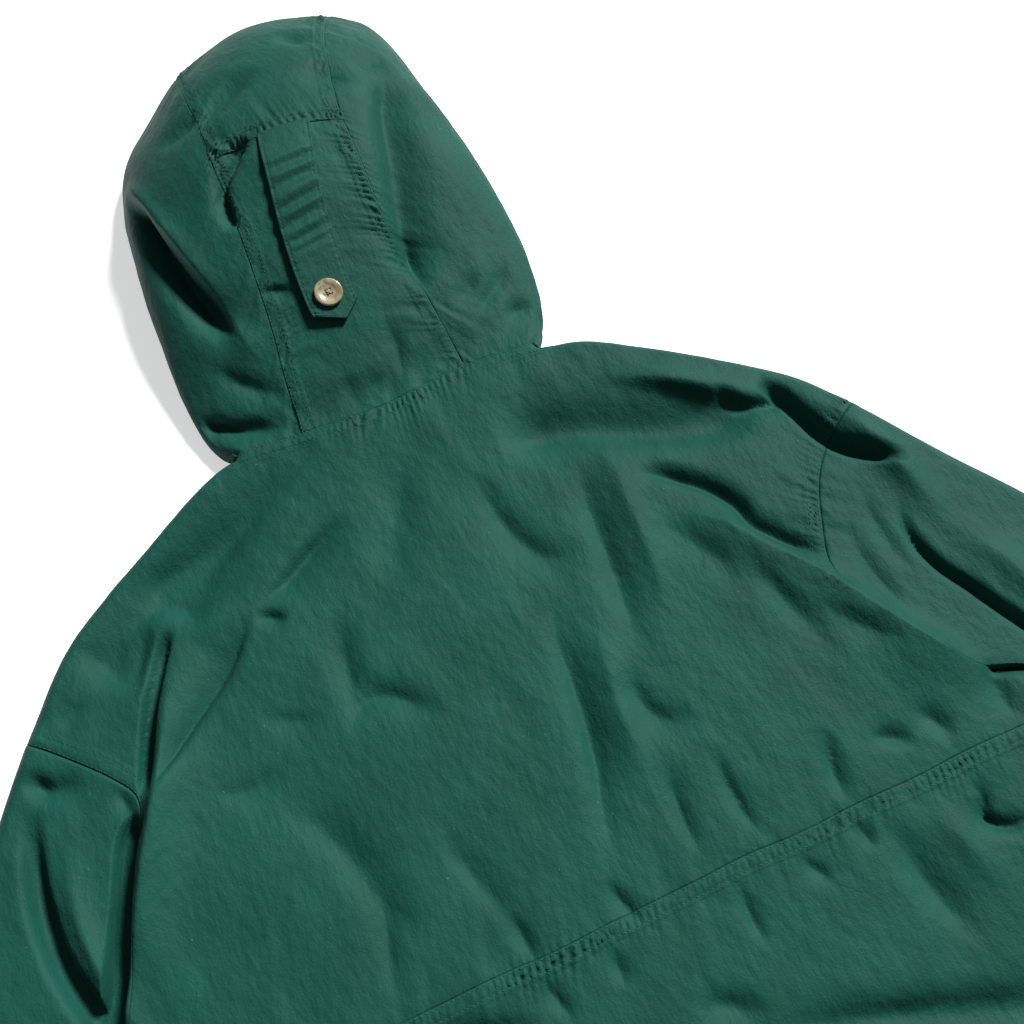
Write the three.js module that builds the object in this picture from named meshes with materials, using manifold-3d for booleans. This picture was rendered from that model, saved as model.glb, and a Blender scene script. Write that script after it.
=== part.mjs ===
// Anorak smock, laid face down with its hood puffed up. Millimetres, +Z up, +Y toward the hood,
// +X to the right as seen on the back. The plan is drawn from the middle of the back neck seam.
import * as THREE from 'three'
import { mergeVertices } from 'three/addons/utils/BufferGeometryUtils.js'
import Module from 'manifold-3d'

// Cloth and seams
const CLOTH_WALL = 1.2
const SEAM_GAP = 0.3
const LOOSE_GAP = 0.7
const LAYER_TOP = CLOTH_WALL + SEAM_GAP
const EDGE_ROLL = 9
const EDGE_LOW = 2.3
const SLEEVE_EDGE = 4.6
const SLEEVE_IN = 0.2

// Overall sizes
const WAIST_Y = -357
const HEM_Y = -738
const BODY_PUFF = 15
const NECK_RISE = 5
const NECK_FADE = 45
const LOWEST_BACK = 9
const NECK_LEFT = -108
const NECK_RIGHT = 114
const NECK_LEFT_PART = 0.305
const NECK_RIGHT_PART = 0.69
const FRONT_NECK_DROP = 62
const FRONT_NECK_ROUND = 0.75

// Hood
const HOOD_TUCK_ANGLE = THREE.MathUtils.degToRad(-15)
const HOOD_NECK_BLEND = 0.08
const HOOD_CROSS_SEAM = 0.585
const CROWN_MIDDLE = 2.5
const CROWN_HALF = 122.5
const EDGE_BAND_ACROSS = 0.76
const EDGE_BAND_ALONG = 0.86
const EDGE_BAND_INSET = 2.5
const EDGE_BAND_FROM = 0.06
const EDGE_BAND_TO = 0.97
const EDGE_BAND_CENTRE_Y = 150
const EDGE_BAND_STEPS = 26
const HOOD_LENGTH = 350
const HOOD_FOOT = 0.08
const HOOD_FOREHEAD = 0.12

// Tab and button
const TAB_SEAT = 0.8
const TAB_LIFT = 1.9
const TAB_HALF = 16
const TAB_CHAMFER = 0.09
const TAB_NARROW = 0.42
const TAB_SETTLE = 0.25
const TAB_STEPS = 9
const TAB_COLUMNS = 4
const BUTTON_RADIUS = 10
const BUTTON_THICK = 3.4
const BUTTON_DISH = 1.1
const BUTTON_DISH_RADIUS = 5
const BUTTON_EDGE = 1.1
const BUTTON_HOLE_SIDES = 8
const BUTTON_SEAT = 0.55
const BUTTON_HOLE = 1.1
const BUTTON_HOLE_RING = 2.3
const BUTTON_SIDES = 28

// Grid steps
const ARM_STEPS = 20
const MIDDLE_COLUMNS = 31
const ROW_CROWDING = 0.35
const SIDE_STEPS = 4
const LOWER_STEPS = 9
const SLEEVE_STEPS = 13
const FLAT_COLUMNS = 10
const HOOD_SIDE_COLUMNS = 14
const HOOD_CENTRE_COLUMNS = 7
const ARM_PART = 0.88
const ARM_TURN = 0.3
const ARM_LEAN = 0.4
const HOOD_ROWS_LOWER = [0, 0.035, 0.08, 0.13, 0.19, 0.25, 0.31, 0.37, 0.43, 0.49, 0.54]
const HOOD_ROWS_UPPER = [0.64, 0.7, 0.76, 0.82, 0.87, 0.915, 0.95, 0.975, 1]

// Top edge of the back and front: shoulder, neck, shoulder
const TOP_EDGE = [
  { t: 0, x: -281, y: -126 }, { t: 0.07, x: -246, y: -80 }, { t: 0.13, x: -211, y: -52 },
  { t: 0.17, x: -187, y: -37 }, { t: 0.26, x: -134, y: -5 }, { t: NECK_LEFT_PART, x: NECK_LEFT, y: 4 },
  { t: 0.4, x: -53, y: 1 }, { t: 0.49, x: -1, y: 0 }, { t: 0.58, x: 49, y: 6 }, { t: 0.64, x: 86, y: 6 },
  { t: NECK_RIGHT_PART, x: NECK_RIGHT, y: 3 }, { t: 0.75, x: 150, y: -7 }, { t: 0.86, x: 213, y: -46 },
  { t: 0.95, x: 265, y: -87 }, { t: 1, x: 292, y: -123 },
]
// Left edge of the body: the armhole down to ARM_PART, then the side
const LEFT_EDGE = [
  { t: 0, x: -281, y: -126 }, { t: 0.12, x: -263, y: -142 }, { t: 0.23, x: -237, y: -169 },
  { t: 0.32, x: -227, y: -187 }, { t: 0.42, x: -234, y: -212 }, { t: 0.58, x: -247, y: -250 },
  { t: 0.76, x: -263, y: -297 }, { t: ARM_PART, x: -281, y: -324 }, { t: 0.94, x: -297, y: -340 },
  { t: 1, x: -306, y: WAIST_Y },
]
const RIGHT_EDGE = [
  { t: 0, x: 292, y: -123 }, { t: 0.1, x: 266, y: -139 }, { t: 0.22, x: 241, y: -163 },
  { t: 0.35, x: 224, y: -195 }, { t: 0.48, x: 214, y: -228 }, { t: 0.62, x: 230, y: -264 },
  { t: 0.78, x: 254, y: -306 }, { t: ARM_PART, x: 272, y: -321 }, { t: 0.95, x: 300, y: -333 },
  { t: 1, x: 309, y: WAIST_Y },
]
const SIDE_FLARE = [
  { t: 0, left: -306, right: 309 }, { t: 0.35, left: -312, right: 315 }, { t: 1, left: -318, right: 322 },
]
// Sleeves: the long edges from the armhole to the cuff
const LEFT_SLEEVE = [
  { t: 0, outerX: -281, outerY: -126, innerX: -281, innerY: -324 },
  { t: 0.07, outerX: -301, outerY: -156, innerX: -299, innerY: -338 },
  { t: 0.16, outerX: -325, outerY: -196, innerX: -318, innerY: -362 },
  { t: 0.35, outerX: -374, outerY: -282, innerX: -352, innerY: -424 },
  { t: 0.65, outerX: -466, outerY: -416, innerX: -402, innerY: -524 },
  { t: 1, outerX: -568, outerY: -576, innerX: -462, innerY: -648 },
]
const RIGHT_SLEEVE = [
  { t: 0, outerX: 292, outerY: -123, innerX: 272, innerY: -321 },
  { t: 0.07, outerX: 309, outerY: -150, innerX: 300, innerY: -329 },
  { t: 0.16, outerX: 334, outerY: -189, innerX: 324, innerY: -348 },
  { t: 0.35, outerX: 388, outerY: -270, innerX: 362, innerY: -412 },
  { t: 0.65, outerX: 476, outerY: -404, innerX: 412, innerY: -512 },
  { t: 1, outerX: 578, outerY: -564, innerX: 472, innerY: -636 },
]
// Hood from neck seam to forehead: how far along, height of the middle, extra width at each side
const HOOD_PROFILE = [
  { t: 0, along: 0, height: 19, left: 0, right: 0 },
  { t: 0.06, along: 0.06, height: 34, left: 9, right: 10 },
  { t: 0.15, along: 0.15, height: 48, left: 13, right: 17 },
  { t: 0.3, along: 0.3, height: 63, left: 14, right: 21 },
  { t: 0.45, along: 0.45, height: 72, left: 12, right: 19 },
  { t: 0.6, along: 0.6, height: 75, left: 10, right: 15 },
  { t: 0.72, along: 0.72, height: 73, left: 7, right: 9 },
  { t: 0.82, along: 0.83, height: 64, left: 4, right: 6 },
  { t: 0.9, along: 0.92, height: 48, left: 2, right: 4 },
  { t: 0.95, along: 0.972, height: 32, left: 1, right: 2 },
  { t: 0.98, along: 0.998, height: 16, left: 0, right: 1 },
  { t: 1, along: 0.988, height: 0, left: 0, right: 0 },
]
// Forehead edge across the hood, t from -1 at the left to 1 at the right
const CROWN_EDGE = [
  { t: -1, y: 228 }, { t: -0.92, y: 262 }, { t: -0.82, y: 282 }, { t: -0.62, y: 306 }, { t: -0.41, y: 331 },
  { t: -0.17, y: 349 }, { t: 0.15, y: 363 }, { t: 0.51, y: 360 }, { t: 0.78, y: 349 }, { t: 0.93, y: 326 },
  { t: 1, y: 274 },
]
// The two long hood seams and the tab, by their distance from the middle of the neck
const HOOD_SEAMS = [
  { t: 0, left: -60, right: 50 }, { t: 0.15, left: -56, right: 48 }, { t: 0.35, left: -54, right: 44 },
  { t: 0.6, left: -50, right: 45 }, { t: 0.8, left: -48, right: 56 }, { t: 1, left: -47, right: 76 },
]
const TAB_PATH = [
  { t: 0, along: 0.572, x: 2 }, { t: 0.4, along: 0.37, x: -6 }, { t: 0.8, along: 0.19, x: -10 },
  { t: 1, along: 0.128, x: -8 },
]
const BUTTON_PART = 0.86
// Main folds of the back and sleeves: lift above or below the cloth, reach to each side of the path
const BODY_FOLDS = [
  { name: 'left shoulder trough', lift: -5, left: 15, right: 12,
    path: [[-70, -14], [-161, -51], [-225, -95]] },
  { name: 'left pinch', lift: -7, left: 7, right: 9, path: [[-183, -78], [-204, -124], [-229, -190]] },
  { name: 'left crease', lift: -5, left: 12, right: 8, path: [[-130, -92], [-174, -139], [-220, -182]] },
  { name: 'left body roll', lift: 5, left: 12, right: 14,
    path: [[-196, -128], [-222, -215], [-246, -300]] },
  { name: 'left gap', lift: -7, left: 8, right: 8, path: [[-229, -188], [-242, -232], [-272, -318]] },
  { name: 'nape shading', lift: -3, left: 16, right: 20, path: [[0, -20], [-26, -67], [-65, -153]] },
  { name: 'middle dent', lift: -5, left: 13, right: 11,
    path: [[30, -60], [40, -112], [56, -146], [90, -142]] },
  { name: 'long soft trough', lift: -4, left: 16, right: 14, path: [[46, -158], [28, -240], [13, -342]] },
  { name: 'second soft trough', lift: -4, left: 14, right: 16,
    path: [[114, -74], [89, -177], [70, -245], [92, -280]] },
  { name: 'shoulder hollow', lift: -6, left: 12, right: 17,
    path: [[67, -56], [126, -55], [166, -77], [232, -112]] },
  { name: 'shoulder blade fold', lift: -6, left: 10, right: 12,
    path: [[120, -115], [158, -122], [178, -165], [212, -213]] },
  { name: 'right ridge', lift: 9, left: 19, right: 11,
    path: [[128, -126], [173, -182], [209, -234], [262, -320]] },
  { name: 'right hollow', lift: -4, left: 12, right: 18,
    path: [[143, -172], [150, -226], [170, -262], [235, -312]] },
  { name: 'right shoulder valley', lift: -9, left: 9, right: 9,
    path: [[214, -82], [246, -108], [256, -160], [300, -190]] },
  { name: 'right shoulder roll', lift: 8, left: 12, right: 10,
    path: [[262, -98], [282, -128], [296, -166]] },
  { name: 'right sleeve valley', lift: -8, left: 10, right: 9,
    path: [[281, -192], [268, -228], [282, -272], [312, -330]] },
  { name: 'right sleeve ridge', lift: 5, left: 14, right: 14,
    path: [[318, -200], [330, -260], [352, -330]] },
  { name: 'left sleeve dimple', lift: -5, left: 9, right: 9,
    path: [[-290, -146], [-278, -162], [-250, -166]] },
  { name: 'left sleeve crease', lift: -7, left: 10, right: 9,
    path: [[-284, -182], [-292, -225], [-284, -300]] },
  { name: 'left elbow fold', lift: -5, left: 12, right: 12,
    path: [[-400, -372], [-372, -408], [-352, -418]] },
  { name: 'right elbow fold', lift: -5, left: 12, right: 12,
    path: [[414, -348], [388, -392], [362, -404]] },
  { name: 'left low diagonal', lift: -4, left: 14, right: 14,
    path: [[-157, -219], [-116, -298], [-61, -352]] },
  { name: 'right low fold', lift: -4, left: 12, right: 12, path: [[156, -366], [166, -420], [150, -500]] },
  { name: 'right side fold', lift: -5, left: 12, right: 12, path: [[222, -366], [214, -410], [236, -470]] },
  { name: 'hem fold left', lift: 5, left: 16, right: 16, path: [[-140, -470], [-168, -600], [-150, -728]] },
  { name: 'hem fold middle', lift: 4, left: 18, right: 16, path: [[20, -430], [38, -560], [20, -728]] },
  { name: 'hem fold right', lift: 5, left: 16, right: 18, path: [[196, -520], [212, -630], [190, -728]] },
]
// Main folds of the hood, pushed along the cloth's own outward direction. The first number of a
// place is measured round the hood's arch from its middle, the second along the plan.
const HOOD_FOLDS = [
  { name: 'left ridge', lift: 5, left: 12, right: 9, path: [[-118, 243], [-95, 173], [-63, 52]] },
  { name: 'left hollow', lift: -13, left: 12, right: 15,
    path: [[-126, 226], [-115, 165], [-87, 96], [-70, 66]] },
  { name: 'left lower swell', lift: 4, left: 14, right: 14, path: [[-156, 128], [-146, 80], [-112, 34]] },
  { name: 'crown dent', lift: -5, left: 14, right: 14, path: [[-46, 222], [0, 268]] },
  { name: 'right long trough', lift: -8, left: 14, right: 13, path: [[84, 225], [66, 148], [50, 66]] },
  { name: 'right lower fold', lift: -4, left: 11, right: 11, path: [[120, 60], [64, 24]] },
  { name: 'nape crease', lift: -3, left: 10, right: 10, path: [[21, 60], [18, 14]] },
  { name: 'pleat', lift: -6, left: 9, right: 9, path: [[-16, 205], [-40, 176], [-42, 138]] },
]
const HOOD_ARCH_RADIUS = 110

const COLOUR = { cloth: 0x22584e, edge: 0x1d4c43, tab: 0x265f54, button: 0xb9a888 }
const SLOPE_STEP = 0.0016
const FOLD_FADE = 0.2
const FOLD_END = 0.35
const LOW_SOFTNESS = 1.5
const FINE = 1e-6
const CLOTH_ROUGHNESS = 0.62
const BUTTON_ROUGHNESS = 0.32

const clamp = (value, low = 0, high = 1) => Math.min(high, Math.max(low, value))
const mix = (a, b, t) => a + (b - a) * t
const ease = (t) => clamp(t) ** 2 * (3 - 2 * clamp(t))

// Value of one column of a table at t, by cubic pieces whose slopes come from the neighbouring rows
function tableValue(rows, t, column) {
  const last = rows.length - 1
  let k = 0
  while (k < last - 1 && t > rows[k + 1].t) k += 1
  const slope = (i) => {
    const a = rows[Math.max(i - 1, 0)]
    const b = rows[Math.min(i + 1, last)]
    return (b[column] - a[column]) / (b.t - a.t)
  }
  const a = rows[k]
  const b = rows[k + 1]
  const span = b.t - a.t
  const s = clamp((t - a.t) / span)
  const s2 = s * s
  const s3 = s2 * s
  return a[column] * (2 * s3 - 3 * s2 + 1) + slope(k) * span * (s3 - 2 * s2 + s)
    + b[column] * (3 * s2 - 2 * s3) + slope(k + 1) * span * (s3 - s2)
}

const tablePoint = (rows, t) => ({ x: tableValue(rows, t, 'x'), y: tableValue(rows, t, 'y') })

// Quarter-round rise from an edge, 0 at the edge and 1 from the roll's width inward
function roll(distance, width = EDGE_ROLL) {
  const t = clamp(distance / width)
  return Math.sqrt(1 - (1 - t) ** 2)
}

// Height that a list of folds adds at a point, each fading at its ends and to both sides
function foldHeight(folds, x, y) {
  let sum = 0
  for (const fold of folds) {
    let best = Infinity
    let side = 1
    let along = 0
    const count = fold.path.length - 1
    for (let i = 0; i < count; i += 1) {
      const [ax, ay] = fold.path[i]
      const [bx, by] = fold.path[i + 1]
      const length2 = (bx - ax) ** 2 + (by - ay) ** 2
      const s = clamp(((x - ax) * (bx - ax) + (y - ay) * (by - ay)) / length2)
      const distance = Math.hypot(x - mix(ax, bx, s), y - mix(ay, by, s))
      if (distance < best) {
        best = distance
        side = (bx - ax) * (y - ay) - (by - ay) * (x - ax)
        along = (i + s) / count
      }
    }
    const reach = side > 0 ? fold.left : fold.right
    const ends = ease(along / FOLD_FADE + FOLD_END) * ease((1 - along) / FOLD_FADE + FOLD_END)
    sum += fold.lift * Math.exp(-((best / reach) ** 2)) * ends
  }
  return sum
}

// Plan of a four-sided patch from its four edges
function patch(top, bottom, left, right) {
  const corner = { tl: top(0), tr: top(1), bl: bottom(0), br: bottom(1) }
  const value = (u, v, k) => mix(top(u)[k], bottom(u)[k], v) + mix(left(v)[k], right(v)[k], u)
    - mix(mix(corner.tl[k], corner.tr[k], u), mix(corner.bl[k], corner.br[k], u), v)
  return (u, v) => ({ x: value(u, v, 'x'), y: value(u, v, 'y') })
}

const topEdge = (u) => tablePoint(TOP_EDGE, u)
const waistEdge = (u) => ({ x: mix(SIDE_FLARE[0].left, SIDE_FLARE[0].right, u), y: WAIST_Y })
const leftEdge = (v) => tablePoint(LEFT_EDGE, v)
const rightEdge = (v) => tablePoint(RIGHT_EDGE, v)
const upperPlan = patch(topEdge, waistEdge, leftEdge, rightEdge)

function bodyPlan(u, v) {
  if (v <= 1) return upperPlan(u, v)
  const left = tableValue(SIDE_FLARE, v - 1, 'left')
  const right = tableValue(SIDE_FLARE, v - 1, 'right')
  return { x: mix(left, right, u), y: mix(WAIST_Y, HEM_Y, v - 1) }
}

const distance = (a, b) => Math.hypot(a.x - b.x, a.y - b.y)

// Height of the cloth over the floor before its edges roll down, shared by body and sleeves
function openHeight(x, y) {
  const puff = BODY_PUFF + NECK_RISE * Math.exp(-((y / NECK_FADE) ** 2))
  const above = puff + foldHeight(BODY_FOLDS, x, y) - LOWEST_BACK
  return LOWEST_BACK + Math.log1p(Math.exp(above / LOW_SOFTNESS)) * LOW_SOFTNESS
}

// Openness of the top edge (neck) and of the side edges (armholes)
function topRoll(u, plan) {
  const onEdge = topEdge(u)
  const neck = Math.min(onEdge.x - NECK_LEFT, NECK_RIGHT - onEdge.x)
  const open = roll(Math.max(neck, 0))
  return Math.max(open, roll(distance(plan, onEdge)))
}

function sideRoll(v, plan, edgeTable, edgePoint) {
  const armEnd = tablePoint(edgeTable, ARM_PART)
  const open = v < ARM_PART ? roll(distance(tablePoint(edgeTable, v), armEnd)) : 0
  return Math.max(open, roll(distance(plan, edgePoint)))
}

function backPoint(u, v) {
  const plan = bodyPlan(u, v)
  const top = v <= 1 ? topRoll(u, plan) : 1
  const left = sideRoll(v, plan, LEFT_EDGE, bodyPlan(0, v))
  const right = sideRoll(v, plan, RIGHT_EDGE, bodyPlan(1, v))
  const low = LAYER_TOP + EDGE_LOW - CLOTH_WALL
  return new THREE.Vector3(plan.x, plan.y, low + (openHeight(plan.x, plan.y) - low) * top * left * right)
}

// Outward direction of a surface, from its slopes across and along
function slopes(surface, u, v, limits) {
  const step = SLOPE_STEP
  const u0 = Math.max(u - step, limits.u[0])
  const u1 = Math.min(u + step, limits.u[1])
  const v0 = Math.max(v - step, limits.v[0])
  const v1 = Math.min(v + step, limits.v[1])
  const across = surface(u1, v).sub(surface(u0, v))
  const along = surface(u, v1).sub(surface(u, v0))
  return new THREE.Vector3().crossVectors(along, across).normalize()
}

// Closed solid from rows of outer and inner points, wrapped round when ring is true
function wallGeometry(outer, inner, ring = false) {
  const rows = outer.length
  const columns = outer[0].length
  const positions = []
  for (const grid of [outer, inner]) {
    for (const row of grid) {
      for (const point of row) positions.push(point.x, point.y, point.z)
    }
  }
  const index = []
  const quad = (a, b, c, d) => index.push(a, b, c, a, c, d)
  const id = (layer, i, j) => layer * rows * columns + i * columns + (j % columns)
  const spans = ring ? columns : columns - 1
  for (let i = 0; i < rows - 1; i += 1) {
    for (let j = 0; j < spans; j += 1) {
      quad(id(0, i, j), id(0, i + 1, j), id(0, i + 1, j + 1), id(0, i, j + 1))
      quad(id(1, i, j), id(1, i, j + 1), id(1, i + 1, j + 1), id(1, i + 1, j))
    }
    if (!ring) {
      const end = columns - 1
      quad(id(0, i, 0), id(1, i, 0), id(1, i + 1, 0), id(0, i + 1, 0))
      quad(id(0, i + 1, end), id(1, i + 1, end), id(1, i, end), id(0, i, end))
    }
  }
  for (let j = 0; j < spans; j += 1) {
    quad(id(0, 0, j), id(0, 0, j + 1), id(1, 0, j + 1), id(1, 0, j))
    quad(id(0, rows - 1, j + 1), id(0, rows - 1, j), id(1, rows - 1, j), id(1, rows - 1, j + 1))
  }
  const geometry = new THREE.BufferGeometry()
  geometry.setAttribute('position', new THREE.Float32BufferAttribute(positions, 3))
  geometry.setIndex(index)
  return geometry
}

// Cloth wall under a surface, given where its rows and columns lie and how the wall leans at its borders
function clothSolid(surface, columnsAt, rowsAt, options) {
  const limits = options.limits
  const outer = []
  const inner = []
  for (const v of rowsAt) {
    const outerRow = []
    const innerRow = []
    for (const u of columnsAt(v)) {
      const point = surface(u, v)
      const lean = slopes(surface, u, v, limits)
      if (options.rowsGoUp) lean.negate()
      if (options.lean) options.lean(lean, u, v)
      const under = point.clone().addScaledVector(lean.normalize(), -CLOTH_WALL)
      under.z = Math.max(under.z, options.lowest ?? LAYER_TOP)
      outerRow.push(point)
      innerRow.push(under)
    }
    outer.push(outerRow)
    inner.push(innerRow)
  }
  if (options.rowsGoUp) {
    outer.reverse()
    inner.reverse()
  }
  return wallGeometry(outer, inner)
}

const steps = (count, from = 0, to = 1) => (
  Array.from({ length: count + 1 }, (_, i) => mix(from, to, i / count))
)

// Rows down the body: close together near the top edge, the same at both armholes
const armRows = steps(ARM_STEPS).map((t) => ARM_PART * mix(t, t * t, ROW_CROWDING * (1 - t)))
const upperRows = [...armRows, ...steps(SIDE_STEPS, ARM_PART, 1).slice(1)]
const lowerRows = steps(LOWER_STEPS, 1, 2)
const WAIST_INSET = SEAM_GAP / 2 / -WAIST_Y
const edgeColumns = [0, 0.0035, 0.009, 0.019, 0.037]
const middleColumns = steps(MIDDLE_COLUMNS, 0.062, 0.938)
const bodyColumns = [...edgeColumns, ...middleColumns, ...edgeColumns.map((u) => 1 - u).reverse()]
const bodyLimits = { u: [0, 1], v: [0, 2] }

const insetRows = (rows, first, last) => rows.map((v, i) => {
  if (i === 0) return v + first
  return i === rows.length - 1 ? v - last : v
})

function backLean(lean, u, v) {
  const armhole = (u === 0 || u === 1) && v < ARM_PART
  if (armhole) lean.set(0, 0, 1)
  if (v < FINE && topEdge(u).x > NECK_LEFT && topEdge(u).x < NECK_RIGHT) lean.y = 0
}

function backUpper() {
  return clothSolid(backPoint, () => bodyColumns, insetRows(upperRows, 0, WAIST_INSET),
    { limits: bodyLimits, lean: backLean })
}

function backLower() {
  const rows = insetRows(lowerRows, WAIST_INSET, 0)
  return clothSolid(backPoint, () => bodyColumns, rows, { limits: bodyLimits })
}

// Front panels lie flat on the floor under the back
function frontPlan(u, v) {
  const plan = bodyPlan(u, v)
  if (v > 1) return plan
  const t = clamp((u - NECK_LEFT_PART) / (NECK_RIGHT_PART - NECK_LEFT_PART))
  const drop = (FRONT_NECK_DROP + LOOSE_GAP) * Math.sin(Math.PI * t) ** FRONT_NECK_ROUND
  return { x: plan.x, y: plan.y - drop * (1 - v) ** 2 }
}

function frontPanel(rows, first, last) {
  const surface = (u, v) => {
    const plan = frontPlan(u, v)
    return new THREE.Vector3(plan.x, plan.y, CLOTH_WALL)
  }
  const neck = steps(FLAT_COLUMNS, NECK_LEFT_PART, NECK_RIGHT_PART)
  const columns = [0, 0.1, 0.2, ...neck, 0.8, 0.9, 1]
  const up = (lean) => lean.set(0, 0, 1)
  const options = { limits: bodyLimits, lean: up, lowest: 0 }
  return clothSolid(surface, () => columns, insetRows(rows, first, last), options)
}

// Sleeve: a flattened tube whose plan runs from the armhole curve to the cuff
function sleevePlan(table, edgeTable, side) {
  const outerEdge = (v) => ({ x: tableValue(table, v, 'outerX'), y: tableValue(table, v, 'outerY') })
  const innerEdge = (v) => ({ x: tableValue(table, v, 'innerX'), y: tableValue(table, v, 'innerY') })
  const armhole = (a) => tablePoint(edgeTable, a * ARM_PART)
  const cuff = (a) => {
    const outer = outerEdge(1)
    const inner = innerEdge(1)
    return { x: mix(outer.x, inner.x, a), y: mix(outer.y, inner.y, a) }
  }
  const plan = patch(armhole, cuff, outerEdge, innerEdge)
  return (a, v) => {
    const point = plan(a, v)
    const clear = SEAM_GAP * (1 - v) ** 3
    return { x: point.x + side * clear, y: point.y + clear * (a < ARM_TURN ? ARM_LEAN : -ARM_LEAN) }
  }
}

function sleeveSolid(table, edgeTable, side) {
  const plan = sleevePlan(table, edgeTable, side)
  const top = armRows.map((v) => v / ARM_PART)
  const bottom = top.filter((_, i) => i % 2 === 0)
  const height = (a, v) => {
    const point = plan(a, v)
    const edges = roll(distance(point, plan(0, v))) * roll(distance(point, plan(1, v)))
    return mix(SLEEVE_EDGE, openHeight(point.x, point.y), edges)
  }
  const outer = []
  const inner = []
  for (const v of steps(SLEEVE_STEPS)) {
    const outerRow = []
    const innerRow = []
    const push = (a, z, wall) => {
      const point = plan(a, v)
      const inward = a === 0 || a === 1 ? plan(a === 0 ? SLEEVE_IN : 1 - SLEEVE_IN, v) : point
      const reach = distance(inward, point) || 1
      outerRow.push(new THREE.Vector3(point.x, point.y, z))
      innerRow.push(new THREE.Vector3(
        point.x + (inward.x - point.x) / reach * CLOTH_WALL,
        point.y + (inward.y - point.y) / reach * CLOTH_WALL,
        z + wall,
      ))
    }
    for (const a of top) push(a, height(a, v), -CLOTH_WALL)
    for (const a of [...bottom].reverse()) push(a, 0, CLOTH_WALL)
    outer.push(side > 0 ? outerRow.reverse() : outerRow)
    inner.push(side > 0 ? innerRow.reverse() : innerRow)
  }
  return wallGeometry(outer, inner, true)
}

// Hood: arches from foot to foot, fanned out from the neck seam to the forehead edge
const hoodAngle = (s) => mix(HOOD_TUCK_ANGLE, Math.PI - HOOD_TUCK_ANGLE, s)
const TOP_EDGE_SPAN = TOP_EDGE[TOP_EDGE.length - 1].x - TOP_EDGE[0].x
const NECK_TRIES = 12
const neckEdgeY = (x) => {
  const u = clamp((x - TOP_EDGE[0].x) / TOP_EDGE_SPAN)
  let guess = u
  for (let i = 0; i < NECK_TRIES; i += 1) guess = clamp(guess - (topEdge(guess).x - x) / TOP_EDGE_SPAN)
  return topEdge(guess).y
}

function hoodRow(w) {
  const along = tableValue(HOOD_PROFILE, w, 'along')
  const left = tableValue(HOOD_PROFILE, w, 'left')
  const right = tableValue(HOOD_PROFILE, w, 'right')
  const middle = mix((NECK_LEFT + NECK_RIGHT) / 2, CROWN_MIDDLE, along) + (right - left) / 2
  const half = mix((NECK_RIGHT - NECK_LEFT) / 2, CROWN_HALF, along) + (left + right) / 2
  return { along, middle, half, height: tableValue(HOOD_PROFILE, w, 'height') }
}

function hoodShell(s, w) {
  const row = hoodRow(w)
  const angle = hoodAngle(s)
  const across = -Math.cos(angle)
  const low = Math.sin(HOOD_TUCK_ANGLE)
  const arch = (Math.sin(angle) - low) / (1 - low)
  const x = row.middle + row.half * across
  const neckX = (NECK_LEFT + NECK_RIGHT) / 2 + (NECK_RIGHT - NECK_LEFT) / 2 * across
  const neckY = neckEdgeY(neckX) + SEAM_GAP
  const y = mix(neckY, tableValue(CROWN_EDGE, across, 'y'), row.along)
  const neckLow = LAYER_TOP + EDGE_LOW - CLOTH_WALL
  const corner = Math.min(neckX - NECK_LEFT, NECK_RIGHT - neckX)
  const neckHeight = neckLow + (openHeight(neckX, neckY) - neckLow) * roll(Math.max(corner, 0)) - LAYER_TOP
  const height = mix(neckHeight, row.height * arch, ease(w / HOOD_NECK_BLEND))
  return new THREE.Vector3(x, y, LAYER_TOP + Math.max(height, 0))
}

const hoodLimits = { u: [0, 1], v: [0, 1] }

// Rows of the hood go up from the neck, so its outward direction is the other way round
const hoodOutward = (surface, s, w) => slopes(surface, s, w, hoodLimits).negate()

function hoodPoint(s, w) {
  const point = hoodShell(s, w)
  const out = hoodOutward(hoodShell, s, w)
  const foot = ease(Math.min(s, 1 - s) / HOOD_FOOT)
    * ease((1 - w) / HOOD_FOREHEAD) * ease(w / HOOD_NECK_BLEND)
  const round = (hoodAngle(s) - Math.PI / 2) * HOOD_ARCH_RADIUS
  return point.addScaledVector(out, foldHeight(HOOD_FOLDS, round, point.y) * foot)
}

// Place across the hood that lies at a given x on row w
function hoodAcross(x, w) {
  const row = hoodRow(w)
  const angle = Math.acos(clamp(-(x - row.middle) / row.half, -1, 1))
  return (angle - HOOD_TUCK_ANGLE) / (Math.PI - 2 * HOOD_TUCK_ANGLE)
}

function hoodPanel(from, to, count, rows, first = 0, last = 0) {
  const columnsAt = (w) => {
    const a = from(w)
    const b = to(w)
    return steps(count, a, b)
  }
  const lean = (normal, u, v) => {
    if (v < FINE) normal.y = 0
  }
  const options = { limits: hoodLimits, lean, rowsGoUp: true }
  return clothSolid(hoodPoint, columnsAt, insetRows(rows, first, last), options)
}

const hoodRows = [...HOOD_ROWS_LOWER, HOOD_CROSS_SEAM, ...HOOD_ROWS_UPPER]
const acrossGap = (w) => SEAM_GAP / 2 / (hoodRow(w).half * (Math.PI - 2 * HOOD_TUCK_ANGLE))
const seamAt = (side) => (w) => hoodAcross(tableValue(HOOD_SEAMS, hoodRow(w).along, side), w)
const CROSS_INSET = SEAM_GAP / 2 / HOOD_LENGTH
const lowerHood = insetRows([...HOOD_ROWS_LOWER, HOOD_CROSS_SEAM], 0, CROSS_INSET)
const upperHood = insetRows([HOOD_CROSS_SEAM, ...HOOD_ROWS_UPPER], CROSS_INSET, 0)

function hoodSideLeft() {
  return hoodPanel(() => 0, (w) => seamAt('left')(w) - acrossGap(w), HOOD_SIDE_COLUMNS, hoodRows)
}

function hoodSideRight() {
  return hoodPanel((w) => seamAt('right')(w) + acrossGap(w), () => 1, HOOD_SIDE_COLUMNS, hoodRows)
}

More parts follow.
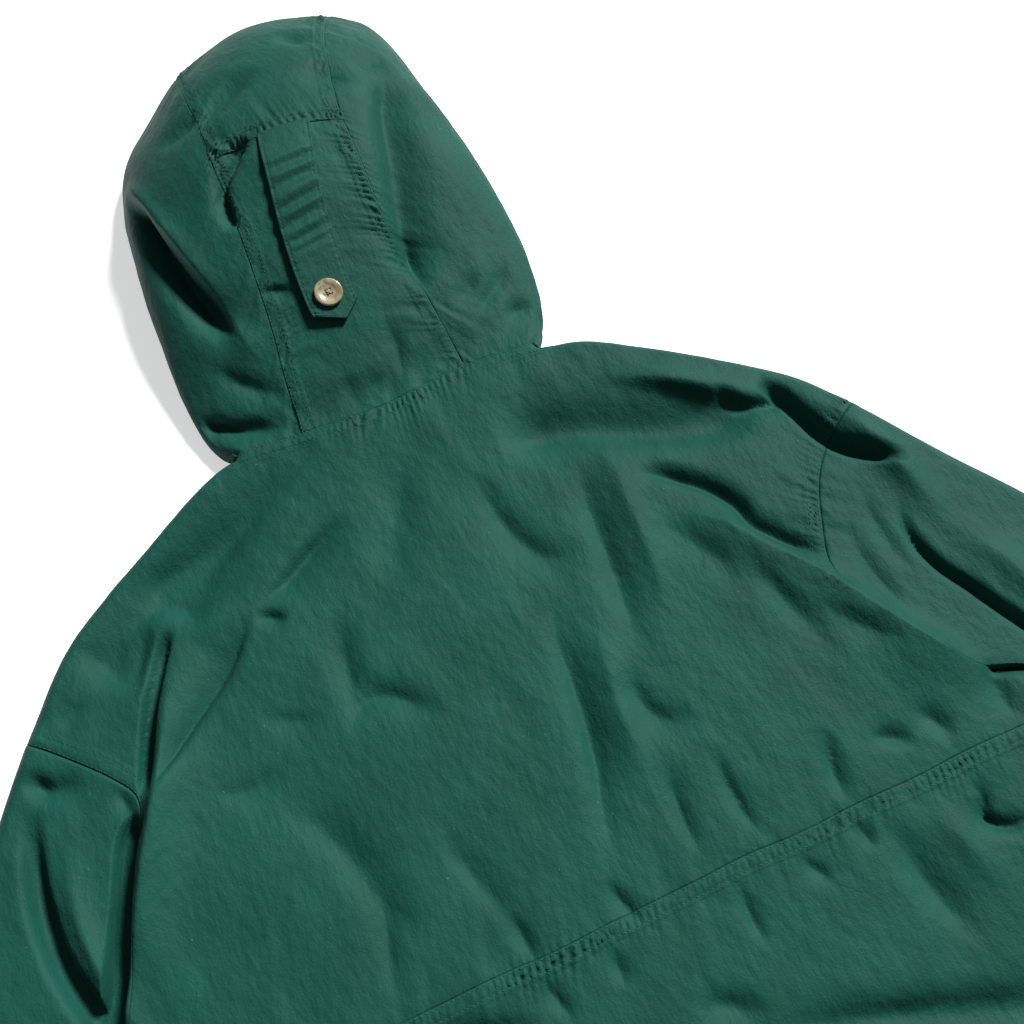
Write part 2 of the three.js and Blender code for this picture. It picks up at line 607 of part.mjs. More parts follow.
function hoodCentre(rows, first, last) {
  return hoodPanel((w) => seamAt('left')(w) + acrossGap(w), (w) => seamAt('right')(w) - acrossGap(w),
    HOOD_CENTRE_COLUMNS, rows, first, last)
}

// Casing round the face opening, a flat loop under the hood's outline and over the front neckline
function hoodEdgeBand() {
  const half = EDGE_BAND_STEPS / 2
  const rim = [
    ...steps(half, EDGE_BAND_FROM, EDGE_BAND_TO).map((w) => hoodShell(0, w)),
    ...steps(EDGE_BAND_STEPS, 0, 1).map((s) => hoodShell(s, 1)),
    ...steps(half, EDGE_BAND_TO, EDGE_BAND_FROM).map((w) => hoodShell(1, w)),
    ...steps(half, NECK_RIGHT_PART, NECK_LEFT_PART).map((u) => {
      const plan = frontPlan(u, 0)
      return { x: plan.x, y: plan.y + LOOSE_GAP }
    }),
  ]
  const centre = { x: CROWN_MIDDLE, y: EDGE_BAND_CENTRE_Y }
  const place = (point, across, along, z) => new THREE.Vector3(
    mix(centre.x, point.x, across), mix(centre.y, point.y, along), z)
  const outerEdge = (z) => rim.map((point) => {
    const part = 1 - EDGE_BAND_INSET / distance(point, centre)
    return place(point, part, part, z)
  })
  const innerEdge = (z) => rim.map((point) => place(point, EDGE_BAND_ACROSS, EDGE_BAND_ALONG, z))
  return wallGeometry([outerEdge(CLOTH_WALL), innerEdge(CLOTH_WALL)], [outerEdge(0), innerEdge(0)], true)
}

// Tab sewn into the cross seam, made from the hood's own points and moved out
function tabPlace(a, b) {
  const w = tableValue(TAB_PATH, b, 'along')
  const cut = 1 - ease((b - (1 - TAB_CHAMFER)) / TAB_CHAMFER) * TAB_NARROW
  const x = tableValue(TAB_PATH, b, 'x') + a * TAB_HALF * cut
  return { s: hoodAcross(x, w), w }
}

// Point on the flat facets of the lower centre panel
function facetPoint(s, w) {
  const rows = lowerHood
  let i = 0
  while (i < rows.length - 2 && w > rows[i + 1]) i += 1
  const p = clamp((w - rows[i]) / (rows[i + 1] - rows[i]))
  const columns = (row) => [seamAt('left')(row) + acrossGap(row), seamAt('right')(row) - acrossGap(row)]
  const near = columns(rows[i])
  const far = columns(rows[i + 1])
  const place = (s - mix(near[0], far[0], p)) / (mix(near[1], far[1], p) - mix(near[0], far[0], p))
  const j = clamp(Math.floor(place * HOOD_CENTRE_COLUMNS), 0, HOOD_CENTRE_COLUMNS - 1)
  const q = clamp(place * HOOD_CENTRE_COLUMNS - j)
  const corner = (edge, row, k) => hoodPoint(mix(edge[0], edge[1], k / HOOD_CENTRE_COLUMNS), row)
  const a = corner(near, rows[i], j)
  const b = corner(far, rows[i + 1], j)
  const c = corner(far, rows[i + 1], j + 1)
  const d = corner(near, rows[i], j + 1)
  if (p + q <= 1) return a.clone().addScaledVector(b.sub(a), p).addScaledVector(d.sub(a), q)
  return c.clone().addScaledVector(d.sub(c), 1 - p).addScaledVector(b.sub(c), 1 - q)
}

function tabSurface(a, b) {
  const place = tabPlace(a, b)
  const out = hoodOutward(hoodPoint, place.s, place.w)
  const lift = mix(TAB_SEAT, TAB_LIFT, ease(b / TAB_SETTLE)) + CLOTH_WALL
  return facetPoint(place.s, place.w).addScaledVector(out, lift)
}

function hoodTab() {
  const rows = [...steps(TAB_STEPS, 0, 1 - TAB_CHAMFER), 1 - TAB_CHAMFER / 2, 1]
  const outer = []
  const inner = []
  for (const b of rows) {
    const outerRow = []
    const innerRow = []
    for (const a of steps(TAB_COLUMNS, -1, 1)) {
      const place = tabPlace(a, b)
      const out = hoodOutward(hoodPoint, place.s, place.w)
      const point = tabSurface(a, b)
      outerRow.push(point)
      innerRow.push(point.clone().addScaledVector(out, -CLOTH_WALL))
    }
    outer.push(outerRow)
    inner.push(innerRow)
  }
  return wallGeometry(outer, inner)
}

async function buttonGeometry() {
  const wasm = await Module()
  wasm.setup()
  const solidOf = (geometry) => {
    geometry.deleteAttribute('normal')
    geometry.deleteAttribute('uv')
    const merged = mergeVertices(geometry, 1e-4)
    return new wasm.Manifold(new wasm.Mesh({
      numProp: 3,
      vertProperties: new Float32Array(merged.attributes.position.array),
      triVerts: new Uint32Array(merged.index.array),
    }))
  }
  const rim = BUTTON_RADIUS
  const top = BUTTON_THICK
  const edge = BUTTON_EDGE
  const dish = BUTTON_DISH_RADIUS
  const profile = [
    [0, 0], [rim - edge, 0], [rim, edge], [rim, top - edge], [rim - edge / 2, top - edge / 4],
    [rim - edge * 2, top], [dish + edge, top - edge / 4], [dish - edge, top - BUTTON_DISH],
    [0, top - BUTTON_DISH],
  ].map(([r, z]) => new THREE.Vector2(r, z))
  let button = solidOf(new THREE.LatheGeometry(profile, BUTTON_SIDES).rotateX(Math.PI / 2))
  for (let i = 0; i < 4; i += 1) {
    const angle = Math.PI / 4 + i * Math.PI / 2
    const hole = new THREE.CylinderGeometry(BUTTON_HOLE, BUTTON_HOLE, BUTTON_THICK * 3, BUTTON_HOLE_SIDES)
    hole.rotateX(Math.PI / 2)
    hole.translate(Math.cos(angle) * BUTTON_HOLE_RING, Math.sin(angle) * BUTTON_HOLE_RING, 0)
    button = button.subtract(solidOf(hole))
  }
  const mesh = button.getMesh()
  const geometry = new THREE.BufferGeometry()
  geometry.setAttribute('position', new THREE.Float32BufferAttribute(mesh.vertProperties, 3))
  geometry.setIndex(Array.from(mesh.triVerts))
  return geometry
}

function material(colour, roughness = CLOTH_ROUGHNESS) {
  return new THREE.MeshStandardMaterial({ color: colour, roughness, metalness: 0 })
}

function piece(name, geometry, colour = COLOUR.cloth, roughness = CLOTH_ROUGHNESS) {
  const mesh = new THREE.Mesh(geometry, material(colour, roughness))
  mesh.name = name
  return mesh
}

async function tabButton() {
  const place = tabPlace(0, BUTTON_PART)
  const out = hoodOutward(hoodPoint, place.s, place.w)
  const button = piece('tab_button', await buttonGeometry(), COLOUR.button, BUTTON_ROUGHNESS)
  const seat = tabSurface(0, BUTTON_PART).addScaledVector(out, BUTTON_SEAT)
  button.position.copy(seat)
  button.quaternion.setFromUnitVectors(new THREE.Vector3(0, 0, 1), out)
  return button
}

const frontArmRows = [...armRows.filter((_, i) => i % 2 === 0), ...steps(2, ARM_PART, 1).slice(1)]

const garment = new THREE.Group()
garment.add(
  piece('front_upper', frontPanel(frontArmRows, 0, WAIST_INSET)),
  piece('front_lower', frontPanel(steps(3, 1, 2), WAIST_INSET, 0)),
  piece('back_upper', backUpper()),
  piece('back_lower', backLower()),
  piece('sleeve_left', sleeveSolid(LEFT_SLEEVE, LEFT_EDGE, -1)),
  piece('sleeve_right', sleeveSolid(RIGHT_SLEEVE, RIGHT_EDGE, 1)),
  piece('hood_side_left', hoodSideLeft()),
  piece('hood_side_right', hoodSideRight()),
  piece('hood_centre_lower', hoodCentre(lowerHood, 0, 0)),
  piece('hood_centre_upper', hoodCentre(upperHood, 0, 0)),
  piece('hood_edge_band', hoodEdgeBand(), COLOUR.edge),
  piece('hood_tab', hoodTab(), COLOUR.tab),
  await tabButton(),
)

// The middle of the whole plan goes to the origin
const bounds = new THREE.Box3().setFromObject(garment)
const middle = bounds.getCenter(new THREE.Vector3())
garment.position.set(-middle.x, -middle.y, -bounds.min.z)

export default garment
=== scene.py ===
import math
from collections import namedtuple

import bpy
import numpy as np
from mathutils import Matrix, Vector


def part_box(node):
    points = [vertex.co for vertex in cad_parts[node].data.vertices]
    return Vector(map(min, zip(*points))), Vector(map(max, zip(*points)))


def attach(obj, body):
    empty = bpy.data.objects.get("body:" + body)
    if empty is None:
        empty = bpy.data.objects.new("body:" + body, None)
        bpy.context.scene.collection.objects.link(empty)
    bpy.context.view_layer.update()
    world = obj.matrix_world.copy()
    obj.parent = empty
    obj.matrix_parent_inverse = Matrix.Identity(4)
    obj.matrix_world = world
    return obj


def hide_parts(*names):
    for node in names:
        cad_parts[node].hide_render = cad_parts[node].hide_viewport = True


bl_info = {
    "name": "Anorak smock",
    "version": (1, 0, 0),
    "blender": (4, 5, 0),
    "location": "View3D > Sidebar > Smock",
    "description": "Builds a hooded anorak smock laid face down, piece by piece, with seams and stitching",
    "category": "Add Mesh",
}

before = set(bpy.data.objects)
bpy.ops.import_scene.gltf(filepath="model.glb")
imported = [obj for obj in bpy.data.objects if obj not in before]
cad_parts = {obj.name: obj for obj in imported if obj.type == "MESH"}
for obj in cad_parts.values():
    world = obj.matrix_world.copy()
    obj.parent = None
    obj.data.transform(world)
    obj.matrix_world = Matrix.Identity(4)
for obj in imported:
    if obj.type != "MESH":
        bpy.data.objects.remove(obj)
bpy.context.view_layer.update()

# The tables below are in millimetres from the middle of the back neck seam: +X to the right as seen on
# the back, +Y toward the hood, +Z up from the floor. PLACE moves them to the row frame.
HEM_Y = -738
SIDE_LEFT_X = -318
BODY_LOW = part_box("front_lower")[0]
PLACE = np.array([BODY_LOW[0] * 1000 - SIDE_LEFT_X, BODY_LOW[1] * 1000 - HEM_Y, 0.0])
MM = 0.001

# Camera, set from the photograph's view
CAMERA_TARGET = (45.04, -106.24, 15)
CAMERA_AZIMUTH = -24
CAMERA_ELEVATION = 65
CAMERA_DISTANCE = 735
CAMERA_LENS = 40
CAMERA_SENSOR = 36

# Overall sizes
WAIST_Y = -357
BACK_LENGTH = -WAIST_Y
SKIRT_LENGTH = WAIST_Y - HEM_Y
BODY_WIDTH = 615
SLEEVE_LENGTH = 530
SLEEVE_WIDTH = 238
BODY_PUFF = 15
NECK_RISE = 5
NECK_FADE = 45
LOWEST_BACK = 3.4
LOW_SOFTNESS = 1.5
EDGE_ROLL = 9
EDGE_HEIGHT = 2.6
SLEEVE_EDGE = 4.6
NECK_LEFT = -108
NECK_RIGHT = 114
NECK_LEFT_PART = 0.305
NECK_RIGHT_PART = 0.69
FRONT_NECK_DROP = 62
FRONT_NECK_ROUND = 0.75
FRONT_GAP = 0.15
ARM_PART = 0.88
LAYER_TOP = 1.5
SEAM_GAP = 0.01
# Lowest y at which the armhole seams show: below it they turn under the arm
LEFT_SEAM_END = -196
RIGHT_SEAM_END = -248
SEAM_END_FADE = 16
# Stitches stop this far above them, and a hem's stitch row runs this far inside the hem's upper edge
STITCH_STOP = 6
HEM_ROW = 2

# Hood
HOOD_TUCK_ANGLE = math.radians(-15)
HOOD_NECK_BLEND = 0.08
HOOD_CROSS_SEAM = 0.585
CROSS_SEAM_SLANT = (0.01, -0.05)
HOOD_ARCH_RADIUS = 110
HOOD_FOOT = 0.08
HOOD_FOREHEAD = 0.12
CROWN_MIDDLE = 2.5
CROWN_HALF = 122.5
BAND_CENTRE = (CROWN_MIDDLE, 150)
BAND_ACROSS = 0.76
BAND_ALONG = 0.86
BAND_INSET = 2.5

# Each seam: the number that starts its own chance pattern of gathers, and how strong they are
Seam = namedtuple("Seam", "seed gather")
WAIST_SEAM = Seam(31, 1)
NECK_SEAM = Seam(41, 1.25)
LEFT_ARM_SEAM = Seam(51, 0.35)
RIGHT_ARM_SEAM = Seam(61, 1.1)
LEFT_HOOD_SEAM = Seam(81, 1.4)
RIGHT_HOOD_SEAM = Seam(91, 1.2)
CROSS_SEAM = Seam(101, 1.5)
# Numbers that start the wavering of the two long hood seams
HOOD_SEAM_WAVERS = {"left": 83, "right": 93}
# Width of the cross seam's band over that of the others
CROSS_BAND = 1.18

# Tab and button
TAB_LENGTH = 160
TAB_HALF = 17.6
TAB_POINT = 0.09
TAB_PEAK = 0.2
TAB_ROW = 2.2
TAB_END_ROW = 2.8
BUTTON_PLACE = 0.82
BUTTON_THICKNESS = 3.3
BUTTON_LIFT = 0.35
HOLE_RING = 2.15
HOLE_RADIUS = 0.95
BUTTON_TURNS = 72

# Floor and lights
FLOOR_SIZE = 60
FLOOR_DROP = 0.0004
LIGHT_SIZE = 13
LIGHT_HEIGHT = 43
LIGHT_TURN = 30
LIGHT_COLOUR = (1.0, 0.985, 0.96)
SKY_COLOUR = (0.97, 0.985, 1.0)


class Table:
    """Rows of named numbers. Between rows a value follows cubic pieces whose slopes come from the rows on
    both sides."""

    def __init__(self, columns, *rows):
        self.columns = columns.split()
        self.rows = np.array(rows, float)

    def at(self, t, column):
        """The value of a column at place t: a cubic piece with both rows' values and slopes at its ends."""
        t = np.asarray(t, float)
        knots = self.rows[:, 0]
        values = self.rows[:, self.columns.index(column)]
        last = len(knots) - 1
        before = np.maximum(np.arange(last + 1) - 1, 0)
        after = np.minimum(np.arange(last + 1) + 1, last)
        slope = (values[after] - values[before]) / (knots[after] - knots[before])
        k = np.clip(np.searchsorted(knots, t, side="left") - 1, 0, last - 1)
        span = knots[k + 1] - knots[k]
        s = np.clip((t - knots[k]) / span, 0, 1)
        rise = 3 * s**2 - 2 * s**3
        start = s**3 - 2 * s**2 + s
        end = s**3 - s**2
        slopes = span * (slope[k] * start + slope[k + 1] * end)
        return values[k] * (1 - rise) + values[k + 1] * rise + slopes

    def point(self, t, x="x", y="y"):
        """Places in plan, from two columns."""
        return np.stack([self.at(t, x), self.at(t, y)], -1)


# Top edge of the back and front: shoulder, neck, shoulder
TOP_EDGE = Table(
    "t x y",
    (0, -281, -126), (0.07, -246, -80), (0.13, -211, -52), (0.17, -187, -37), (0.26, -134, -5),
    (NECK_LEFT_PART, NECK_LEFT, 4), (0.4, -53, 1), (0.49, -1, 0), (0.58, 49, 6), (0.64, 86, 6),
    (NECK_RIGHT_PART, NECK_RIGHT, 3), (0.75, 150, -7), (0.86, 213, -46), (0.95, 265, -87), (1, 292, -123),
)
# Sides of the back: the armhole down to ARM_PART, then the side seam
LEFT_EDGE = Table(
    "t x y",
    (0, -281, -126), (0.12, -263, -142), (0.23, -237, -169), (0.32, -227, -187), (0.42, -234, -212),
    (0.58, -247, -250), (0.76, -263, -297), (ARM_PART, -281, -324), (0.94, -297, -340), (1, -306, WAIST_Y),
)
RIGHT_EDGE = Table(
    "t x y",
    (0, 292, -123), (0.1, 266, -139), (0.22, 241, -163), (0.35, 224, -195), (0.48, 214, -228),
    (0.62, 230, -264), (0.78, 254, -306), (ARM_PART, 272, -321), (0.95, 300, -333), (1, 309, WAIST_Y),
)
SIDE_FLARE = Table("t left right", (0, -306, 309), (0.35, -312, 315), (1, SIDE_LEFT_X, 322))
# Sleeves: their outer and inner long edges from the armhole to the cuff
LEFT_SLEEVE = Table(
    "t outer_x outer_y inner_x inner_y",
    (0, -281, -126, -281, -324), (0.07, -301, -156, -299, -338), (0.16, -325, -196, -318, -362),
    (0.35, -374, -282, -352, -424), (0.65, -466, -416, -402, -524), (1, -568, -576, -462, -648),
)
RIGHT_SLEEVE = Table(
    "t outer_x outer_y inner_x inner_y",
    (0, 292, -123, 272, -321), (0.04, 302, -139, 288, -326.6), (0.07, 309, -150, 300, -332.6),
    (0.16, 334, -189, 324, -348), (0.35, 388, -270, 362, -412), (0.65, 476, -404, 412, -512),
    (1, 578, -564, 472, -636),
)
# Hood from neck seam to forehead: how far along, height of its middle, extra width at each side
HOOD_PROFILE = Table(
    "t along height left right",
    (0, 0, 19, 0, 0), (0.06, 0.06, 24.5, 9, 10), (0.15, 0.15, 33.5, 13, 17), (0.3, 0.3, 50, 14, 21),
    (0.45, 0.45, 68, 12, 19), (0.6, 0.6, 75, 10, 15), (0.72, 0.72, 73, 7, 9), (0.82, 0.83, 64, 4, 6),
    (0.9, 0.92, 48, 2, 4), (0.95, 0.972, 32, 1, 2), (0.98, 0.998, 16, 0, 1), (1, 0.988, 0, 0, 0),
)
# Forehead edge across the hood, t from -1 at the left to 1 at the right
CROWN_EDGE = Table(
    "t y",
    (-1, 228), (-0.92, 262), (-0.82, 282), (-0.62, 306), (-0.41, 331), (-0.17, 349), (0.15, 363),
    (0.51, 360), (0.78, 349), (0.93, 326), (1, 274),
)
# The two long hood seams and the middle of the tab
HOOD_SEAMS = Table(
    "t left right",
    (0, -60, 60), (0.15, -55, 55), (0.35, -49, 49), (0.6, -47, 53), (0.8, -46, 68), (1, -45, 90),
)
TAB_PATH = Table("t along x", (0, 0.566, 8), (0.4, 0.398, -3.5), (0.8, 0.236, -8), (1, 0.171, -6.5))

# A fold is a ridge or trough along a path. lift is its height in the middle, left and right its reach to
# each side as one walks the path, sharp the roundness of its crest (2 round, 1 a crisp edge), lean how far
# the crest hangs over to the left, and fade the part of the path over which each end dies away.
Fold = namedtuple("Fold", "name lift left right path sharp lean fade", defaults=(1.7, 0, 0.45))
BODY_FOLDS = [
    Fold("left shoulder trough", -9, 9, 20,
         [(-50, -6), (-97, -31), (-145, -57), (-196, -77), (-232, -108)]),
    Fold("left shoulder dip 1", -9, 36, 10, [(-182, -44), (-174, -66), (-166, -86), (-158, -104)], 1.6),
    Fold("left shoulder dip 2", -7, 30, 9, [(-236, -76), (-226, -94), (-216, -112), (-208, -128)], 1.6),
    Fold("left slit", -10, 4, 4,
         [(-180, -88), (-194, -114), (-206, -138), (-216, -165), (-224, -190)], sharp=5, fade=0.25),
    Fold("left gap", -15, 6, 5.5,
         [(-227, -194), (-239, -206), (-251, -237), (-262, -268), (-275, -300),
          (-290, -332)], sharp=5, fade=0.12),
    Fold("left body roll", 11, 16, 6,
         [(-176, -96), (-196, -140), (-214, -186), (-236, -232), (-254, -276), (-270, -312)]),
    Fold("left crease", -8, 2.8, 13,
         [(-130, -102), (-148, -124), (-164, -139), (-188, -159), (-222, -193)], sharp=1.1, fade=0.3),
    Fold("left crease tail", -6, 4, 12, [(-131, -104), (-111, -95), (-82, -77), (-50, -62)], 1.5),
    Fold("left crease wedge", -4.5, 4, 5, [(-130, -103), (-122, -110), (-110, -117)]),
    Fold("left shoulder dimple", -2, 8, 8, [(-236, -114), (-248, -121), (-262, -128)]),
    Fold("left small tuck", -3, 4, 5, [(-190, -78), (-201, -99), (-208, -113), (-206, -128)]),
    Fold("upright blotch", -3.2, 7, 10, [(-80, -118), (-86, -145), (-90, -170), (-99, -198)]),
    Fold("blotch foot", -4.2, 7, 9, [(-104, -200), (-84, -184), (-66, -191), (-44, -216)], 1.6),
    Fold("faint crossing", -1.6, 5, 7, [(-150, -169), (-130, -178), (-108, -185)]),
    Fold("low crossing", -2.2, 6, 8, [(-192, -199), (-166, -207), (-135, -200)]),
    Fold("low diagonal", -3.8, 12, 9,
         [(-162, -218), (-140, -238), (-127, -264), (-118, -296), (-100, -326)]),
    Fold("low diagonal tail", -2.2, 8, 6, [(-80, -272), (-66, -306), (-55, -344)]),
    Fold("nape shading", -3, 12, 17, [(2, -14), (-10, -45), (-30, -90), (-60, -150)]),
    Fold("middle dent", -4.4, 8, 11, [(30, -60), (37, -108), (46, -134), (60, -147), (90, -143)]),
    Fold("long trough", -5.6, 9, 6,
         [(44, -160), (36, -200), (32, -234), (26, -268), (13, -316), (16, -344)], sharp=1.5),
    Fold("long pale ridge", 3, 10, 9, [(66, -180), (58, -212), (50, -262), (44, -320)]),
    Fold("second dent", -4.2, 7, 10, [(66, -220), (65, -250), (74, -268), (96, -273)]),
    Fold("second trough", -4.5, 9, 8, [(104, -78), (96, -104), (91, -140), (88, -168), (78, -236)]),
    Fold("second pale ridge", 3, 9, 8, [(124, -74), (117, -117), (114, -160), (104, -220)]),
    Fold("seam crease 1", -3.6, 4, 4, [(90, -292), (89, -325), (92, -358)], sharp=1.3),
    Fold("seam crease 2", -3, 4, 5, [(61, -288), (57, -320), (55, -352)], sharp=1.3),
    Fold("seam crease 3", -4, 4, 5, [(158, -308), (149, -336), (148, -358)], sharp=1.3),
    Fold("seam crease 4", -3.4, 4, 5, [(-56, -328), (-54, -346), (-53, -362)], sharp=1.3),
    Fold("seam crease 5", -3.6, 8, 8, [(-114, -282), (-124, -318), (-132, -352)], sharp=1.3),
    Fold("seam crease 6", -3.4, 4, 5, [(0, -334), (4, -350), (10, -368)], sharp=1.3),
    Fold("hip tuck 1", -3.4, 5, 5, [(176, -326), (192, -332), (204, -342)]),
    Fold("hip tuck 2", -3.2, 6, 6, [(210, -320), (221, -336), (224, -350)]),
    Fold("shade below ridge 1", -2.6, 8, 10, [(119, -148), (137, -164), (152, -193), (156, -226)]),
    Fold("shade below ridge 2", -3, 7, 10, [(164, -178), (172, -214), (182, -250), (190, -284)]),
    Fold("shade below ridge 3", -2.8, 6, 10, [(190, -236), (208, -262), (234, -292)]),
    Fold("right side tuck", -3, 6, 7, [(270, -312), (265, -334), (266, -358)]),
    Fold("waist hook", -6, 4, 4.5,
         [(214, -370), (221, -382), (216, -394), (228, -404), (250, -403)], sharp=1.3),
    Fold("below waist 1", -4.4, 10, 8, [(163, -366), (165, -403), (170, -429), (176, -456)]),
    Fold("below waist ridge", 3, 10, 10, [(190, -366), (196, -400), (206, -440)]),
    Fold("below waist 2", -3, 4, 4, [(145, -363), (147, -374), (148, -386)], sharp=1.3),
    Fold("below waist 3", -3, 4, 4, [(106, -368), (112, -380), (118, -390)], sharp=1.3),
    Fold("below waist 4", -3, 4, 4, [(-12, -368), (-13, -380), (-14, -392)], sharp=1.3),
    Fold("below waist 5", -3.4, 4, 5, [(-54, -364), (-51, -378), (-46, -396)], sharp=1.3),
    Fold("below waist 6", -3, 4, 4, [(68, -366), (66, -388), (66, -406)], sharp=1.3),
    Fold("below waist 7", -4, 7, 9, [(14, -410), (34, -422), (54, -436)]),
    Fold("long low fold", -6.5, 8, 14, [(20, -436), (70, -448), (130, -468), (200, -492), (262, -500)]),
    Fold("short low fold", -4.5, 6, 12, [(-124, -366), (-92, -380), (-62, -392)]),
    Fold("right shoulder roll", 7, 14, 6,
         [(136, -34), (176, -57), (205, -77), (233, -98), (246, -112)], 1.8),
    Fold("right shoulder lens", -5.5, 3.5, 6, [(206, -78), (216, -90), (227, -98), (248, -106)], fade=0.2),
    Fold("shoulder band", -10, 18, 14,
         [(54, -60), (84, -60), (112, -66), (140, -79), (172, -92), (232, -108)], fade=0.2),
    Fold("right shoulder valley", -10, 6, 4,
         [(236, -84), (246, -100), (252, -120), (257, -138), (266, -152), (282, -166),
          (302, -180)], 2.4, fade=0.18),
    Fold("sleeve head roll", 6.5, 12, 9,
         [(258, -98), (275, -128), (283, -148), (289, -170), (293, -196), (300, -236)], 1.7),
    Fold("right sleeve valley", -9, 3.6, 2.8,
         [(280, -196), (273, -214), (273, -232), (278, -251), (287, -269), (297, -291), (318, -332),
          (340, -372)], sharp=1.7, fade=0.3),
    Fold("right sleeve roll", 4.5, 15, 11, [(302, -216), (310, -248), (324, -286), (350, -336)]),
    Fold("blade fold", -7, 6, 4.5,
         [(128, -113), (146, -121), (161, -133), (173, -146), (181, -161), (183, -175), (192, -188),
          (204, -203), (218, -218)], fade=0.2),
    Fold("blade ridge", 6.5, 8, 26,
         [(138, -146), (151, -157), (165, -170), (175, -185), (188, -202), (202, -221), (222, -255),
          (243, -291), (270, -330)], 1.5, fade=0.2),
    Fold("sleeve streak 1", -1.8, 5, 6, [(260, -176), (256, -203), (257, -226), (259, -256)]),
    Fold("sleeve streak 2", -1.8, 5, 6, [(238, -190), (237, -217), (238, -244), (242, -284)]),
    Fold("left sleeve dimple", -4, 6, 7, [(-287, -142), (-276, -157), (-250, -165)]),
    Fold("left sleeve dimple tail", -3, 5, 5, [(-282, -142), (-277, -156), (-273, -170)]),
    Fold("left sleeve crease", -14, 5, 6,
         [(-285, -160), (-290, -188), (-293, -220), (-290, -256), (-279, -292), (-270, -330),
          (-262, -364)], sharp=2.6, fade=0.35),
    Fold("left sleeve roll", 5, 7, 7,
         [(-270, -186), (-275, -222), (-273, -256), (-264, -292), (-256, -330)]),
    Fold("left armpit tuck", -2.5, 4, 4, [(-237, -170), (-235, -184), (-233, -198)]),
    Fold("left elbow fold", -5, 12, 12, [(-400, -372), (-372, -408), (-352, -418)]),
    Fold("right elbow fold", -5, 12, 12, [(414, -348), (388, -392), (362, -404)]),
    Fold("left forearm fold", -5, 10, 12, [(-470, -440), (-448, -470), (-420, -486)]),
    Fold("right forearm fold", -5, 12, 10, [(492, -440), (462, -462), (430, -488)]),
    Fold("left cuff fold", 4, 14, 12, [(-500, -500), (-508, -560), (-520, -606)]),
    Fold("right cuff fold", 4, 12, 14, [(506, -486), (520, -548), (528, -592)]),
    Fold("hem fold left", 5, 16, 16, [(-140, -470), (-168, -600), (-150, -728)]),
    Fold("hem fold middle", 4, 18, 16, [(20, -470), (38, -590), (20, -728)]),
    Fold("hem fold right", 5, 16, 18, [(196, -540), (212, -640), (190, -728)]),
    Fold("hem trough left", -5, 13, 15, [(-214, -440), (-232, -560), (-220, -700)]),
    Fold("hem trough middle", -4, 14, 14, [(-60, -520), (-52, -620), (-70, -720)]),
    Fold("hem trough right", -5, 14, 13, [(112, -540), (118, -640), (104, -724)]),
]
# Folds of the hood, with their paths in plan. They stand out along the cloth's own outward direction.
HOOD_FOLDS = [
    Fold("left ridge", 6, 7, 16,
         [(-108, 243), (-101, 208), (-94, 173), (-82, 123), (-73, 80), (-64, 52)], 1.4, fade=0.2),
    Fold("left hollow", -17, 12, 12,
         [(-114, 226), (-110, 200), (-106, 165), (-97, 130), (-84, 96), (-70, 66)], fade=0.25),
    Fold("left swell fold", -3.5, 7, 8, [(-96, 72), (-90, 54), (-74, 39), (-58, 24)]),
    Fold("left neck fold", -6, 6, 7, [(-121, 34), (-109, 29), (-93, 19), (-66, 8)], fade=0.25),
    Fold("left dent", -4, 7, 8, [(-78, 232), (-59, 240), (-40, 249)]),
    Fold("crown trough", -5, 9, 10, [(-54, 230), (-16, 254), (12, 268)]),
    Fold("crown dimple", -3.5, 12, 12, [(48, 264), (52, 242), (64, 222)]),
    Fold("crown side dimple", -3, 12, 12, [(70, 246), (88, 252), (106, 258)]),
    Fold("top dent", -3, 7, 7, [(30, 304), (44, 292), (54, 278)]),
    Fold("right trough", -9, 17, 9,
         [(100, 244), (83, 202), (73, 161), (62, 122), (56, 90), (57, 60)], fade=0.2),
    Fold("right notch", -4, 5, 4, [(60, 112), (56, 86), (57, 62)]),
    Fold("right low fold 1", -2.4, 6, 8, [(122, 68), (102, 52), (80, 35)]),
    Fold("right low fold 2", -1.8, 5, 7, [(98, 66), (84, 56), (72, 46)]),
    Fold("right neck fold", -2.6, 6, 6, [(126, 34), (112, 34), (98, 33)]),
    Fold("nape crease 1", -2.6, 5, 4, [(24, 58), (21, 32), (17, 4)]),
    Fold("nape crease 2", -1.6, 5, 4, [(-18, 28), (-21, 14), (-24, 2)]),
    Fold("nape crease 3", -1.4, 4, 4, [(3, 22), (-1, 12), (-5, 4)]),
    Fold("pleat", -7, 3, 6, [(-16, 205), (-34, 190), (-46, 176), (-49, 160), (-49, 140)], 1.7, fade=0.2),
    Fold("pleat crease", -2.6, 3, 4, [(-53, 99), (-40, 96), (-25, 92)]),
]


def ease(t):
    """Smooth step: 0 below 0, 1 above 1, 3t^2 - 2t^3 between."""
    t = np.clip(t, 0, 1)
    return t * t * (3 - 2 * t)


def mix(a, b, t):
    """The value that is the part t of the way from a to b."""
    return a + (b - a) * t


def noise(x, y, seed):
    """Smooth random value from -1 to 1: random numbers on a unit square net, mixed by quintic easing."""
    net = np.random.default_rng(seed).uniform(-1, 1, (256, 256))
    xi, yi = np.floor(x).astype(int), np.floor(y).astype(int)
    fx, fy = x - xi, y - yi
    fx = fx**3 * (fx * (6 * fx - 15) + 10)
    fy = fy**3 * (fy * (6 * fy - 15) + 10)
    a = net[yi % 256, xi % 256]
    b = net[yi % 256, (xi + 1) % 256]
    c = net[(yi + 1) % 256, xi % 256]
    d = net[(yi + 1) % 256, (xi + 1) % 256]
    return mix(mix(a, b, fx), mix(c, d, fx), fy)


